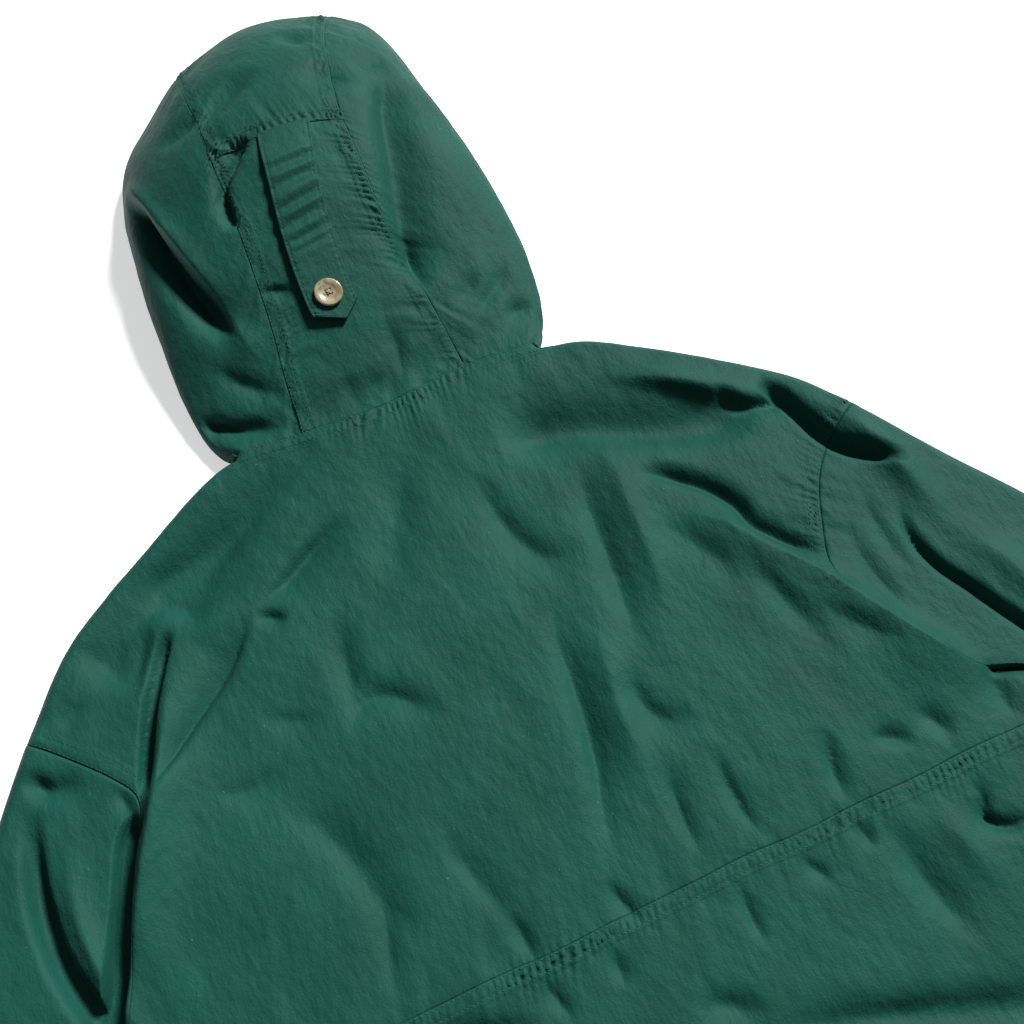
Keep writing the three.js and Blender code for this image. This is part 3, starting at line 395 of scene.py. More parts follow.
def rounded_path(points, pieces=5):
    """Points along Catmull-Rom arcs through the given ones."""
    p = np.array(points, float)
    p = np.vstack([2 * p[0] - p[1], p, 2 * p[-1] - p[-2]])
    t = np.arange(pieces)[:, None, None] / pieces
    a, b, c, d = p[:-3], p[1:-2], p[2:-1], p[3:]
    arcs = 0.5 * (2 * b + (c - a) * t + (2 * a - 5 * b + 4 * c - d) * t**2 + (3 * b - a - 3 * c + d) * t**3)
    return np.vstack([arcs.transpose(1, 0, 2).reshape(-1, p.shape[1]), p[-2]])


def nearest(path, points):
    """Distance from each point to a path of straight pieces, positive to the left of travel, the length
    along the path of the nearest place, and the unit direction from the path to its left there."""
    best = np.full(len(points), np.inf)
    signed = np.zeros(len(points))
    along = np.zeros(len(points))
    sideways = np.zeros((len(points), 2))
    start = 0.0
    for a, b in zip(path[:-1], path[1:]):
        piece = b - a
        length = math.hypot(*piece)
        away = points - a
        s = np.clip(away @ piece / length**2, 0, 1)
        gap = away - s[:, None] * piece
        reach = np.hypot(gap[:, 0], gap[:, 1])
        closer = reach < best
        left = np.array([-piece[1], piece[0]]) / length
        side = np.where(away @ left >= 0, 1.0, -1.0)
        best = np.where(closer, reach, best)
        signed = np.where(closer, reach * side, signed)
        along = np.where(closer, start + s * length, along)
        sideways[closer] = left
        start += length
    return signed, along, sideways


def fold_relief(folds, points, to_plane=None):
    """Height that the folds add at each point, and how far sideways they carry it. A fold's height is its
    lift times exp(-(distance / reach)^sharp), dying away at both ends of its path."""
    height = np.zeros(len(points))
    shift = np.zeros((len(points), 2))
    for fold in folds:
        path = rounded_path(fold.path)
        if to_plane:
            path = to_plane(path)
        margin = 3.2 * max(fold.left, fold.right)
        low, high = path.min(0) - margin, path.max(0) + margin
        near = np.nonzero(np.all((points > low) & (points < high), axis=1))[0]
        if not len(near):
            continue
        distance, along, sideways = nearest(path, points[near])
        along = along / np.hypot(*np.diff(path, axis=0).T).sum()
        reach = np.where(distance > 0, fold.left, fold.right)
        ends = ease(along / fold.fade) * ease((1 - along) / fold.fade)
        shape = np.exp(-np.abs(distance / reach) ** fold.sharp) * ends
        height[near] += fold.lift * shape
        shift[near] += (fold.lean * shape)[:, None] * sideways
    return height, shift


def crumple(x, y, seed, strength=1.0):
    """Loose unevenness of washed cloth: broad waves, soft streaks longer along Y than across, and fine
    ripples."""
    broad = 1.35 * noise(x / 62 + 0.3 * noise(x / 90, y / 90, seed + 7), y / 105, seed)
    streaks = 0.95 * noise(x / 17 + y / 90, y / 58, seed + 1) * (0.6 + 0.4 * noise(x / 70, y / 70, seed + 2))
    ripples = 0.26 * noise(x / 6.5, y / 11, seed + 3) + 0.12 * noise(x / 3.6, y / 4.4, seed + 4)
    return strength * (broad + streaks + ripples)


def felled_seam(distance, along, sizes, seam):
    """Relief of a felled seam, with distance measured into its band: a raised double ply between the seam
    line and the band's far side, a groove under each stitch row, and gathers across the band whose height
    is pinned at the rows and dies away over the cloth on both sides."""
    seed = seam.seed

    def waver(length, line, number):
        """Slow random change along the seam, one turn in twice the length."""
        return noise(along / length, along * 0 + line, seed + number)

    width = sizes.band / MM
    row = sizes.row_inset / MM
    beyond = distance - width
    ply = sizes.ply / MM * (ease(distance / 0.9) - ease((beyond - row) / 1.4))
    grooves = sum(np.exp(-(((distance - place) / 0.85) ** 2)) for place in (row, width))
    line = np.exp(-((distance / 0.8) ** 2))

    beat = along / (sizes.pucker_step / MM) + 1.9 * waver(21, 0, 0) + 0.05 * distance
    wave = 1 - 2 * np.abs(np.sin(np.pi * beat)) ** 0.8
    uneven = np.clip(0.75 + 0.5 * waver(31, 5, 1) + 0.3 * waver(9, 0, 2), 0.25, 1.4)
    inside = np.sin(np.pi * np.clip((distance - row) / (width - row), 0, 1)) ** 0.6
    reach = 6.5 + 5 * waver(7, 0, 3)
    below = 0.62 * np.exp(-np.clip(beyond, 0, None) / reach) * (beyond > 0) * ease(beyond / 1.6)
    above = 0.5 * np.exp(np.clip(distance, None, 0) / 4) * (distance < 0) * ease(-distance / 1.4)
    gathers = sizes.pucker / MM * uneven * wave * (inside + below + above)

    away = np.abs(distance - width / 2)
    long_wave = noise(along / 7.5 + 0.03 * distance, along * 0 + 9, seed + 5)
    long_wave = long_wave * (1 - np.exp(-((away / 7) ** 2)))
    gathers = gathers + 1.25 * long_wave * np.exp(-away / (14 + 9 * waver(19, 0, 6)))
    return ply - sizes.groove / MM * (grooves + 0.5 * line) + seam.gather * gathers


def hem_relief(from_edge, width, sizes):
    """Relief of a turned hem: a double ply up to its width, and a groove under its stitch row."""
    width = width / MM
    groove = np.exp(-(((from_edge - width + HEM_ROW) / 1.2) ** 2))
    return sizes.ply / MM * ease((width - from_edge) / 1.2) - sizes.groove / MM * groove


# Plan of the body


def patch(top, bottom, left, right, u, v):
    """Coons patch: edges mixed both ways, less the corners mixed both ways."""
    u, v = u[..., None], v[..., None]
    zero, one = np.zeros(1), np.ones(1)
    across = mix(top(u[..., 0]), bottom(u[..., 0]), v)
    down = mix(left(v[..., 0]), right(v[..., 0]), u)
    corners = mix(mix(top(zero), top(one), u), mix(bottom(zero), bottom(one), u), v)
    return across + down - corners


def across_skirt(down, u):
    """X of the part u of the way across below the waist, at the part down of the way to the hem."""
    return mix(SIDE_FLARE.at(down, "left"), SIDE_FLARE.at(down, "right"), u)


def waist_edge(u):
    """The waist seam from side to side."""
    return np.stack([across_skirt(0, u), np.full_like(u, WAIST_Y)], -1)


def body_plan(u, v):
    """Plan of the body, v from 0 at the top edge through 1 at the waist seam to 2 at the hem."""
    upper = patch(TOP_EDGE.point, waist_edge, LEFT_EDGE.point, RIGHT_EDGE.point, u, np.minimum(v, 1))
    down = np.clip(v - 1, 0, 1)
    lower = np.stack([across_skirt(down, u), mix(WAIST_Y, HEM_Y, down)], -1)
    return np.where((v <= 1)[..., None], upper, lower)


def outline_path(table, start, end, count=48):
    """Places in plan, evenly spaced along part of an edge."""
    return table.point(np.linspace(start, end, count))


def side_path(edge, side):
    """Path down one side of the body, from the armhole's foot to a little past the hem."""
    down = np.linspace(0, 1, 20)
    flare = np.stack([SIDE_FLARE.at(down, side), mix(WAIST_Y, HEM_Y - 40, down)], -1)
    return np.vstack([outline_path(edge, ARM_PART, 1, 16), flare[1:]])


NECK_LINE = outline_path(TOP_EDGE, NECK_LEFT_PART, NECK_RIGHT_PART, 60)
OPEN_EDGES = [
    outline_path(TOP_EDGE, 0, NECK_LEFT_PART), outline_path(TOP_EDGE, NECK_RIGHT_PART, 1),
    side_path(LEFT_EDGE, "left"), side_path(RIGHT_EDGE, "right"),
]
# Left and right armhole: the seam's path, the sign of distances into its band, the seam, its lowest y
Armhole = namedtuple("Armhole", "path sign seam end")
ARMHOLES = [
    Armhole(outline_path(LEFT_EDGE, 0, ARM_PART, 60), 1, LEFT_ARM_SEAM, LEFT_SEAM_END),
    Armhole(outline_path(RIGHT_EDGE, 0, ARM_PART, 60), -1, RIGHT_ARM_SEAM, RIGHT_SEAM_END),
]


def roll(distance, width=EDGE_ROLL):
    """Quarter-round rise: 0 at an edge, 1 from the roll's width inward."""
    t = np.clip(distance / width, 0, 1)
    return np.sqrt(1 - (1 - t) ** 2)


def open_height(points, sizes):
    """Height of the cloth over the floor before its edges roll down: a shallow puff, higher at the nape,
    with the folds and the cloth's own unevenness, kept off the layer below by a soft floor."""
    x, y = points[:, 0], points[:, 1]
    folds, shift = fold_relief(BODY_FOLDS, points)
    puff = BODY_PUFF + NECK_RISE * np.exp(-((y / NECK_FADE) ** 2))
    above = puff + sizes.fold_strength * folds + crumple(x, y, 11, sizes.crumple) - LOWEST_BACK
    height = LOWEST_BACK + np.logaddexp(0, above / LOW_SOFTNESS) * LOW_SOFTNESS
    return height, shift * sizes.fold_strength


def armhole_relief(armhole, points, sizes):
    """Relief of one armhole seam, which fades out above its lowest y."""
    distance, along, _ = nearest(armhole.path, points)
    seam = felled_seam(armhole.sign * distance, along, sizes, armhole.seam)
    return seam * ease((points[:, 1] - armhole.end) / SEAM_END_FADE)


def body_relief(points, sizes):
    """Relief of the seams that the body's cloth carries: waist, neck and both armholes, and the hem."""
    x, y = points[:, 0], points[:, 1]
    relief = felled_seam(WAIST_Y - y, x + 400, sizes, WAIST_SEAM)
    distance, along, _ = nearest(NECK_LINE, points)
    at_neck = (distance < 0) & (np.abs(distance) < 60)
    calm = 0.5 + 0.5 * ease((along - 60) / 25) * ease((150 - along) / 20)
    neck = felled_seam(-distance, along, sizes, NECK_SEAM._replace(gather=calm))
    relief = relief + np.where(at_neck, neck, 0)
    for armhole in ARMHOLES:
        relief = relief + armhole_relief(armhole, points, sizes)
    return relief + hem_relief(y - HEM_Y, sizes.hem, sizes)


def body_surface(points, sizes):
    """The back's outer surface over a list of plan points: its height, brought down to its open edges by
    quarter rounds."""
    height, shift = open_height(points, sizes)
    height = height + body_relief(points, sizes)
    rolls = np.ones(len(points))
    for path in OPEN_EDGES:
        distance, _, _ = nearest(path, points)
        rolls = rolls * roll(np.abs(distance))
    z = EDGE_HEIGHT + (height - EDGE_HEIGHT) * rolls
    x, y = points[:, 0], points[:, 1]
    waver = 1.3 * noise(x / 38, x * 0, 33) * np.exp(-(((y - WAIST_Y) / 40) ** 2))
    shift = shift + np.stack([np.zeros_like(waver), waver], -1)
    return np.column_stack([points + shift * rolls[:, None], z])


# Grids and meshes


def spaced(stops, total):
    """Places from 0 to 1 along a length: stops are (millimetres from the start, spacing from there on)."""
    marks = []
    edges = [s[0] for s in stops] + [total]
    for (start, step), end in zip(stops, edges[1:]):
        count = max(int(round((end - start) / step)), 1)
        marks.append(np.linspace(start, end, count, endpoint=False))
    places = np.append(np.concatenate(marks), total) / total
    if len(places) % 2 == 0:
        places = np.insert(places, -1, (places[-2] + places[-1]) / 2)
    return places


def grid_normals(grid, ring=False):
    """Outward direction of a grid whose rows go down and columns to the right: down crossed with across."""
    down = np.gradient(grid, axis=0)
    if ring:
        across = np.roll(grid, -1, 1) - np.roll(grid, 1, 1)
    else:
        across = np.gradient(grid, axis=1)
    normal = np.cross(down, across)
    return normal / np.maximum(np.linalg.norm(normal, axis=-1, keepdims=True), 1e-9)


def shell(outer, thickness, ring=False, lowest=None):
    """Closed cloth wall. The outer grid is kept whole, the inner one is every second point set in along the
    normal, and five-sided faces join them round the rim. Returns points, face lists and each corner's place
    in the cloth."""
    rows, columns, _ = outer.shape
    normals = grid_normals(outer, ring)
    inner = (outer - normals * thickness)[::2, ::2]
    if lowest is not None:
        inner[..., 2] = np.maximum(inner[..., 2], lowest)
    inner_columns = inner.shape[1]
    points = np.vstack([outer.reshape(-1, 3), inner.reshape(-1, 3)])

    closed = np.concatenate([outer, outer[:, :1]], 1) if ring else outer
    down = np.linalg.norm(np.diff(closed, axis=0), axis=-1).mean(1)
    across = np.linalg.norm(np.diff(closed, axis=1), axis=-1).mean(0)
    v = -np.concatenate([[0], np.cumsum(down)])
    u = np.concatenate([[0], np.cumsum(across)])

    def index(layer, i, j):
        if layer == 0:
            return i * columns + j % columns
        return rows * columns + (i // 2) * inner_columns + (j // 2) % inner_columns

    def face(*corners):
        """Faces of one kind from the layer, row and column of each of their corners."""
        return np.stack([np.stack([index(*corner), *corner[1:]], -1) for corner in corners], -2)

    span = columns if ring else columns - 1
    i, j = np.meshgrid(np.arange(rows - 1), np.arange(span), indexing="ij")
    faces = [face((0, i, j), (0, i + 1, j), (0, i + 1, j + 1), (0, i, j + 1))]
    i, j = np.meshgrid(np.arange(0, rows - 2, 2), np.arange(0, span, 2), indexing="ij")
    faces.append(face((1, i, j), (1, i, j + 2), (1, i + 2, j + 2), (1, i + 2, j)))
    j = np.arange(0, span, 2)
    top, end = np.zeros_like(j), np.full_like(j, rows - 1)
    faces.append(face((0, top, j), (0, top, j + 1), (0, top, j + 2), (1, top, j + 2), (1, top, j)))
    faces.append(face((0, end, j + 2), (0, end, j + 1), (0, end, j), (1, end, j), (1, end, j + 2)))
    if not ring:
        i = np.arange(0, rows - 2, 2)
        first, last = np.zeros_like(i), np.full_like(i, columns - 1)
        faces.append(face(
            (0, i, first), (1, i, first), (1, i + 2, first), (0, i + 2, first), (0, i + 1, first)))
        faces.append(face((0, i + 2, last), (1, i + 2, last), (1, i, last), (0, i, last), (0, i + 1, last)))
    smooth = [True, True] + [False] * (len(faces) - 2)
    corners = [f.reshape(-1, f.shape[-2], 3) for f in faces]
    places = [np.stack([u[c[..., 2]], v[c[..., 1]]], -1) for c in corners]
    return points, [c[..., 0] for c in corners], places, smooth


def add_mesh(name, points, faces, material, places=None, smooth=None):
    """Mesh object at the origin, from points in table millimetres and arrays of faces of one size each."""
    mesh = bpy.data.meshes.new(name)
    points = (np.asarray(points) + PLACE) * MM
    loops = np.concatenate([f.ravel() for f in faces])
    totals = np.concatenate([np.full(len(f), f.shape[1]) for f in faces])
    mesh.vertices.add(len(points))
    mesh.vertices.foreach_set("co", points.ravel())
    mesh.loops.add(len(loops))
    mesh.loops.foreach_set("vertex_index", loops)
    mesh.polygons.add(len(totals))
    mesh.polygons.foreach_set("loop_start", np.concatenate([[0], np.cumsum(totals)[:-1]]))
    mesh.polygons.foreach_set("loop_total", totals)
    shading = [np.full(len(f), s) for f, s in zip(faces, smooth or [True] * len(faces))]
    mesh.polygons.foreach_set("use_smooth", np.concatenate(shading))
    if places is not None:
        layer = mesh.uv_layers.new(name="cloth")
        layer.data.foreach_set("uv", (np.concatenate([p.reshape(-1, 2) for p in places]) * MM).ravel())
    mesh.update(calc_edges=True)
    if mesh.validate():
        raise RuntimeError(f"{name}: the mesh had faces that were mended")
    mesh.materials.append(material)
    piece = bpy.data.objects.new(name, mesh)
    bpy.context.scene.collection.objects.link(piece)
    return piece


def add_cloth(node, grid, sizes, material, ring=False, lowest=None, thickness=None):
    """One panel's cloth shell and material, named after the node it stands for, which it hides, on the root.
    """
    points, faces, places, smooth = shell(grid, (thickness or sizes.thickness) / MM, ring, lowest)
    piece = add_mesh(node + "_cloth", points, faces, material, places, smooth)
    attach(piece, "root")
    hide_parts(node)
    return piece


# Lines on a grid, for the stitches


STITCH_LINES = []


def level_line(grid, field, level, down=False):
    """The line on a grid where field passes level, one place in each row, or in each column where down is
    set, with the outward direction there."""
    normals = grid_normals(grid)
    if down:
        grid, field, normals = grid.transpose(1, 0, 2), field.T, normals.transpose(1, 0, 2)
    above = field >= level
    crossing = above[:, 1:] != above[:, :-1]
    rows = np.nonzero(crossing.any(1))[0]
    k = crossing[rows].argmax(1)
    a, b = field[rows, k], field[rows, k + 1]
    t = ((level - a) / (b - a))[:, None]
    line = mix(grid[rows, k], grid[rows, k + 1], t)
    return line, mix(normals[rows, k], normals[rows, k + 1], t)


def keep_line(line, normals, start=0.0, end=0.0):
    """Keeps a line for the stitch maker, less the lengths given at its two ends."""
    if len(line) > 2:
        STITCH_LINES.append((line, normals, start, end))


def stitch_rows(sizes):
    """How far a felled seam's two stitch rows run from its seam line, in table millimetres."""
    return sizes.row_inset / MM, sizes.band / MM


def lengths_across(grid):
    """Length across each row from its first point."""
    steps = np.linalg.norm(np.diff(grid, axis=1), axis=-1)
    return np.concatenate([np.zeros((len(grid), 1)), np.cumsum(steps, 1)], 1)


def lengths_down(grid):
    """Length down each column from its first point."""
    steps = np.linalg.norm(np.diff(grid, axis=0), axis=-1)
    return np.concatenate([np.zeros((1, grid.shape[1])), np.cumsum(steps, 0)], 0)


# The hood


def arch_angle(s):
    """Angle round the hood's arch at the part s of the way from its left foot to its right."""
    return mix(HOOD_TUCK_ANGLE, math.pi - HOOD_TUCK_ANGLE, s)


class HoodForm:
    """The hood as a surface of s, from foot to foot round its arch, and w, from the neck seam to the
    forehead. Each row is an arch fanned out from its place on the neck seam to the forehead edge, and its
    first rows blend into the height of the body's own neck edge."""

    def __init__(self, sizes):
        self.sizes = sizes
        self.neck = outline_path(TOP_EDGE, NECK_LEFT_PART, NECK_RIGHT_PART, 400)
        self.neck_height = body_surface(self.neck - [0, 0.2], sizes)[:, 2]

    def row(self, w):
        """How far a row lies toward the forehead edge, its middle and half width, and its height."""
        along = HOOD_PROFILE.at(w, "along")
        left, right = HOOD_PROFILE.at(w, "left"), HOOD_PROFILE.at(w, "right")
        middle = mix((NECK_LEFT + NECK_RIGHT) / 2, CROWN_MIDDLE, along) + (right - left) / 2
        half = mix((NECK_RIGHT - NECK_LEFT) / 2, CROWN_HALF, along) + (left + right) / 2
        return along, middle, half, HOOD_PROFILE.at(w, "height")

    def shell(self, s, w):
        """The puffed form without folds: the arch's cosine goes across, its sine above the feet up."""
        along, middle, half, height = self.row(w)
        angle = arch_angle(s)
        across = -np.cos(angle)
        low = math.sin(HOOD_TUCK_ANGLE)
        arch = (np.sin(angle) - low) / (1 - low)
        neck_x = (NECK_LEFT + NECK_RIGHT) / 2 + (NECK_RIGHT - NECK_LEFT) / 2 * across
        neck_y = np.interp(neck_x, self.neck[:, 0], self.neck[:, 1]) + SEAM_GAP
        neck_z = np.interp(neck_x, self.neck[:, 0], self.neck_height) - LAYER_TOP
        rise = mix(neck_z, height * arch, ease(w / HOOD_NECK_BLEND))
        y = mix(neck_y, CROWN_EDGE.at(across, "y"), along)
        return np.stack([middle + half * across, y, LAYER_TOP + np.maximum(rise, 0)], -1)

    def outward(self, s, w, step=0.0016):
        """Outward direction: the step across the form crossed with the step up it."""
        across = self.shell(np.minimum(s + step, 1), w) - self.shell(np.maximum(s - step, 0), w)
        up = self.shell(s, np.minimum(w + step, 1)) - self.shell(s, np.maximum(w - step, 0))
        normal = np.cross(across, up)
        return normal / np.linalg.norm(normal, axis=-1, keepdims=True)

    def on_arch(self, path):
        """A path in plan as distance round the arch and plan y."""
        x, y = path[:, 0], path[:, 1]
        w = np.clip(y / 350, 0.01, 1)
        for _ in range(3):
            _, middle, half, _ = self.row(w)
            across = np.clip((x - middle) / half, -0.999, 0.999)
            w = np.clip(y / CROWN_EDGE.at(across, "y"), 0.01, 1)
        return np.column_stack([np.arcsin(across) * HOOD_ARCH_RADIUS, y])

    def across(self, x, w):
        """Place round the arch that lies at a given plan x on row w."""
        _, middle, half, _ = self.row(w)
        angle = np.arccos(np.clip(-(x - middle) / half, -1, 1))
        return (angle - HOOD_TUCK_ANGLE) / (math.pi - 2 * HOOD_TUCK_ANGLE)

    def seam(self, side, w):
        """Place round the arch of the left or right long seam on row w, which wavers a little."""
        along = self.row(w)[0]
        waver = 0.9 * noise(along * 9, along * 0, HOOD_SEAM_WAVERS[side]) * ease(along / 0.1)
        return self.across(HOOD_SEAMS.at(along, side) + waver, w)

    def point(self, s, w):
        """The form with its folds and unevenness, which die away at the feet, the forehead and the neck."""
        point = self.shell(s, w)
        foot = ease(np.minimum(s, 1 - s) / HOOD_FOOT)
        foot = foot * ease((1 - w) / HOOD_FOREHEAD) * ease(w / HOOD_NECK_BLEND)
        round_arch = (arch_angle(s) - math.pi / 2) * HOOD_ARCH_RADIUS
        flat = np.column_stack([round_arch.ravel(), point[..., 1].ravel()])
        folds, _ = fold_relief(HOOD_FOLDS, flat, self.on_arch)
        loose = crumple(flat[:, 0], flat[:, 1], 71, 0.85 * self.sizes.crumple)
        height = (self.sizes.fold_strength * folds + loose).reshape(s.shape) * foot
        return point + self.outward(s, w) * height[..., None]

    def panel(self, start, end, columns, rows, slant):
        """Grid of one panel between two seams, its rows going down from the forehead to the neck. slant is
        how far each column's cross seam stands from its place in the table."""
        w = rows[::-1, None]
        below, above = w / HOOD_CROSS_SEAM, (1 - w) / (1 - HOOD_CROSS_SEAM)
        w = w + np.minimum(below, above) * slant[None, :]
        s = mix(start(w), end(w), columns[None, :])
        return self.point(s, w)


def raised(grid, height):
    """The grid moved outward by a height at each point."""
    return grid + grid_normals(grid) * height[..., None]


def neck_gathers(grid, sizes):
    """Relief that the hood's cloth has along the neck seam."""
    down = lengths_down(grid)
    return felled_seam(down - down[-1:], lengths_across(grid) + 3, sizes, NECK_SEAM)


def weld(first, second):
    """Moves two edges that are sewn together to the places half way between them."""
    middle = (first + second) / 2
    first[...] = middle
    second[...] = middle


def hood_grids(hood):
    """Grids of the hood's four panels, which meet at the two long seams and the cross seam."""
    lower_rows = spaced([(0, 1.0), (10, 1.4), (193, 1.0)], 205) * HOOD_CROSS_SEAM
    upper_rows = HOOD_CROSS_SEAM + spaced([(0, 1.0), (13, 1.7)], 145) * (1 - HOOD_CROSS_SEAM)
    rows = np.append(lower_rows, upper_rows[1:])
    left_side = spaced([(0, 2.6), (120, 1.8), (162, 1.0)], 174)
    right_side = 1 - left_side[::-1]
    centre = spaced([(0, 0.9), (11, 1.6), (91, 0.9)], 102)

    def left_seam(w):
        return hood.seam("left", w)

    def right_seam(w):
        return hood.seam("right", w)

    slant_left, slant_right = CROSS_SEAM_SLANT
    slant = mix(slant_left, slant_right, centre)
    left_slant, right_slant = slant_left * left_side**2, slant_right * left_side[::-1] ** 2
    return {
        "side_left": hood.panel(np.zeros_like, left_seam, left_side, rows, left_slant),
        "side_right": hood.panel(right_seam, np.ones_like, right_side, rows, right_slant),
        "centre_upper": hood.panel(left_seam, right_seam, centre, upper_rows, slant),
        "centre_lower": hood.panel(left_seam, right_seam, centre, lower_rows, slant),
    }


def seamed_side(grid, side, sizes):
    """A side panel with the relief of its long seam and of the neck seam."""
    across, down = lengths_across(grid), lengths_down(grid)
    if side == "left":
        relief = felled_seam(across - across[:, -1:], down, sizes, LEFT_HOOD_SEAM)
    else:
        relief = felled_seam(-across, down, sizes, RIGHT_HOOD_SEAM)
    return raised(grid, relief + neck_gathers(grid, sizes))


def seamed_centre(grid, upper, start, sizes):
    """A centre panel with the relief of its seams, whose stitch lines it keeps. start is the length of the
    long seams above the panel."""
    from_left, down = lengths_across(grid), lengths_down(grid)
    from_right = from_left[:, -1:] - from_left
    from_cross = (down[-1:] - down if upper else -down) / CROSS_BAND
    relief = felled_seam(from_left, down + start, sizes, LEFT_HOOD_SEAM)
    relief = relief + felled_seam(from_right, down + start, sizes, RIGHT_HOOD_SEAM)
    relief = relief + felled_seam(from_cross, from_left, sizes, CROSS_SEAM)
    if not upper:
        relief = relief + neck_gathers(grid, sizes)
    grid = raised(grid, relief)
    for level in stitch_rows(sizes):
        keep_line(*level_line(grid, from_left, level))
        keep_line(*level_line(grid, from_right, level))
        if upper:
            keep_line(*level_line(grid, from_cross, level, down=True))
    return grid


def build_hood(sizes, colours):
    """The hood's two side panels and its two centre panels, with felled seams between them."""
    grids = hood_grids(HoodForm(sizes))
    start = lengths_down(grids["centre_upper"])[-1].mean()
    for side in ("left", "right"):
        grids["side_" + side] = seamed_side(grids["side_" + side], side, sizes)
    grids["centre_upper"] = seamed_centre(grids["centre_upper"], True, 0, sizes)
    grids["centre_lower"] = seamed_centre(grids["centre_lower"], False, start, sizes)

    last = len(grids["centre_upper"])
    for name, sewn, column in (("side_left", -1, 0), ("side_right", 0, -1)):
        weld(grids[name][:last, sewn], grids["centre_upper"][:, column])
        weld(grids[name][last - 1:, sewn], grids["centre_lower"][:, column])
    weld(grids["centre_upper"][-1], grids["centre_lower"][0])
    for name, grid in grids.items():
        add_cloth("hood_" + name, grid, sizes, cloth_material(colours))


def build_face_band(sizes, colours):
    """Casing round the face opening: a flat loop under the hood's outline and over the front neckline."""
    hood = HoodForm(sizes)
    w = np.linspace(0.06, 0.97, 60)
    s = np.linspace(0, 1, 120)
    drop = np.linspace(NECK_RIGHT_PART, NECK_LEFT_PART, 60)
    rim = np.vstack([
        hood.shell(np.zeros(60), w)[:, :2], hood.shell(s, np.ones(120))[:, :2],
        hood.shell(np.ones(60), w[::-1])[:, :2], front_plan(drop, np.zeros(60)) + [0, 0.7],
    ])
    centre = np.array(BAND_CENTRE)
    reach = np.linalg.norm(rim - centre, axis=1, keepdims=True)
    outer = centre + (rim - centre) * (1 - BAND_INSET / reach)
    inner = centre + (rim - centre) * [BAND_ACROSS, BAND_ALONG]
    t = np.linspace(0, 1, 13)[:, None, None]
    plan = mix(outer[None], inner[None], t)
    ripple = 0.1 * noise(plan[..., 0] / 9, plan[..., 1] / 9, 111)
    height = sizes.thickness / MM + 0.1 + ripple
    grid = np.concatenate([plan, height[..., None]], -1)
    add_cloth("hood_edge_band", grid, sizes, cloth_material(colours), ring=True, lowest=0.0)


# The body and sleeves


def keep_neck_rows(grid, plan, sizes):
    """Keeps the neck seam's two stitch rows, short of its ends."""
    inside = -nearest(NECK_LINE, plan.reshape(-1, 2))[0].reshape(plan.shape[:2])
    for level in stitch_rows(sizes):
        line, normals = level_line(grid, inside, level, down=True)
        kept = (line[:, 0] > NECK_LEFT + 4) & (line[:, 0] < NECK_RIGHT - 4)
        keep_line(line[kept], normals[kept])


def keep_armhole_rows(grid, plan, sizes):
    """Keeps both armhole seams' stitch rows, down to just above where the seams turn under the arm."""
    middle = grid.shape[1] // 2
    for armhole, half in zip(ARMHOLES, (slice(None, middle), slice(middle, None))):
        inside = armhole.sign * nearest(armhole.path, plan.reshape(-1, 2))[0].reshape(plan.shape[:2])
        for level in stitch_rows(sizes):
            line, normals = level_line(grid[:, half], inside[:, half], level)
            kept = line[:, 1] > armhole.end + STITCH_STOP
            keep_line(line[kept], normals[kept])


def keep_waist_and_hem_rows(grid, plan, sizes):
    """Keeps the waist seam's two stitch rows and the hem's one."""
    from_waist = WAIST_Y - plan[..., 1]
    for level in (*stitch_rows(sizes), SKIRT_LENGTH - sizes.hem / MM + HEM_ROW):
        keep_line(*level_line(grid, from_waist, level, down=True), 3, 3)


def build_back(sizes, colours):
    """The back's two panels, drawn over the body's plan, with the neck, waist and armhole seams and the
    hem."""
    cloth = cloth_material(colours)
    columns = spaced([(0, 1.2), (10, 1.9), (225, 1.4), (375, 1.9), (605, 1.2)], BODY_WIDTH)
    rows = spaced([(0, 0.95), (12, 1.85), (343, 0.95)], BACK_LENGTH)
    u, v = np.meshgrid(columns, rows)
    plan = body_plan(u, v * (1 - SEAM_GAP / 2 / BACK_LENGTH))
    upper = body_surface(plan.reshape(-1, 2), sizes).reshape(*u.shape, 3)
    keep_neck_rows(upper, plan, sizes)
    keep_armhole_rows(upper, plan, sizes)

    columns = spaced([(0, 1.3), (605, 1.3)], BODY_WIDTH)
    rows = spaced([(0, 0.95), (13, 1.9), (110, 4.0), (357, 1.6)], SKIRT_LENGTH)
    u, v = np.meshgrid(columns, rows)
    plan = body_plan(u, 1 + np.maximum(v, SEAM_GAP / 2 / SKIRT_LENGTH))
    lower = body_surface(plan.reshape(-1, 2), sizes).reshape(*u.shape, 3)
    keep_waist_and_hem_rows(lower, plan, sizes)
    add_cloth("back_upper", upper, sizes, cloth)
    add_cloth("back_lower", lower, sizes, cloth)


def front_plan(u, v):
    """Plan of the front: the body's own, with a scooped neckline."""
    plan = body_plan(u, v)
    t = np.clip((u - NECK_LEFT_PART) / (NECK_RIGHT_PART - NECK_LEFT_PART), 0, 1)
    drop = (FRONT_NECK_DROP + 0.7) * np.sin(np.pi * t) ** FRONT_NECK_ROUND * np.clip(1 - v, 0, 1) ** 2
    return plan - np.stack([np.zeros_like(drop), drop], -1)


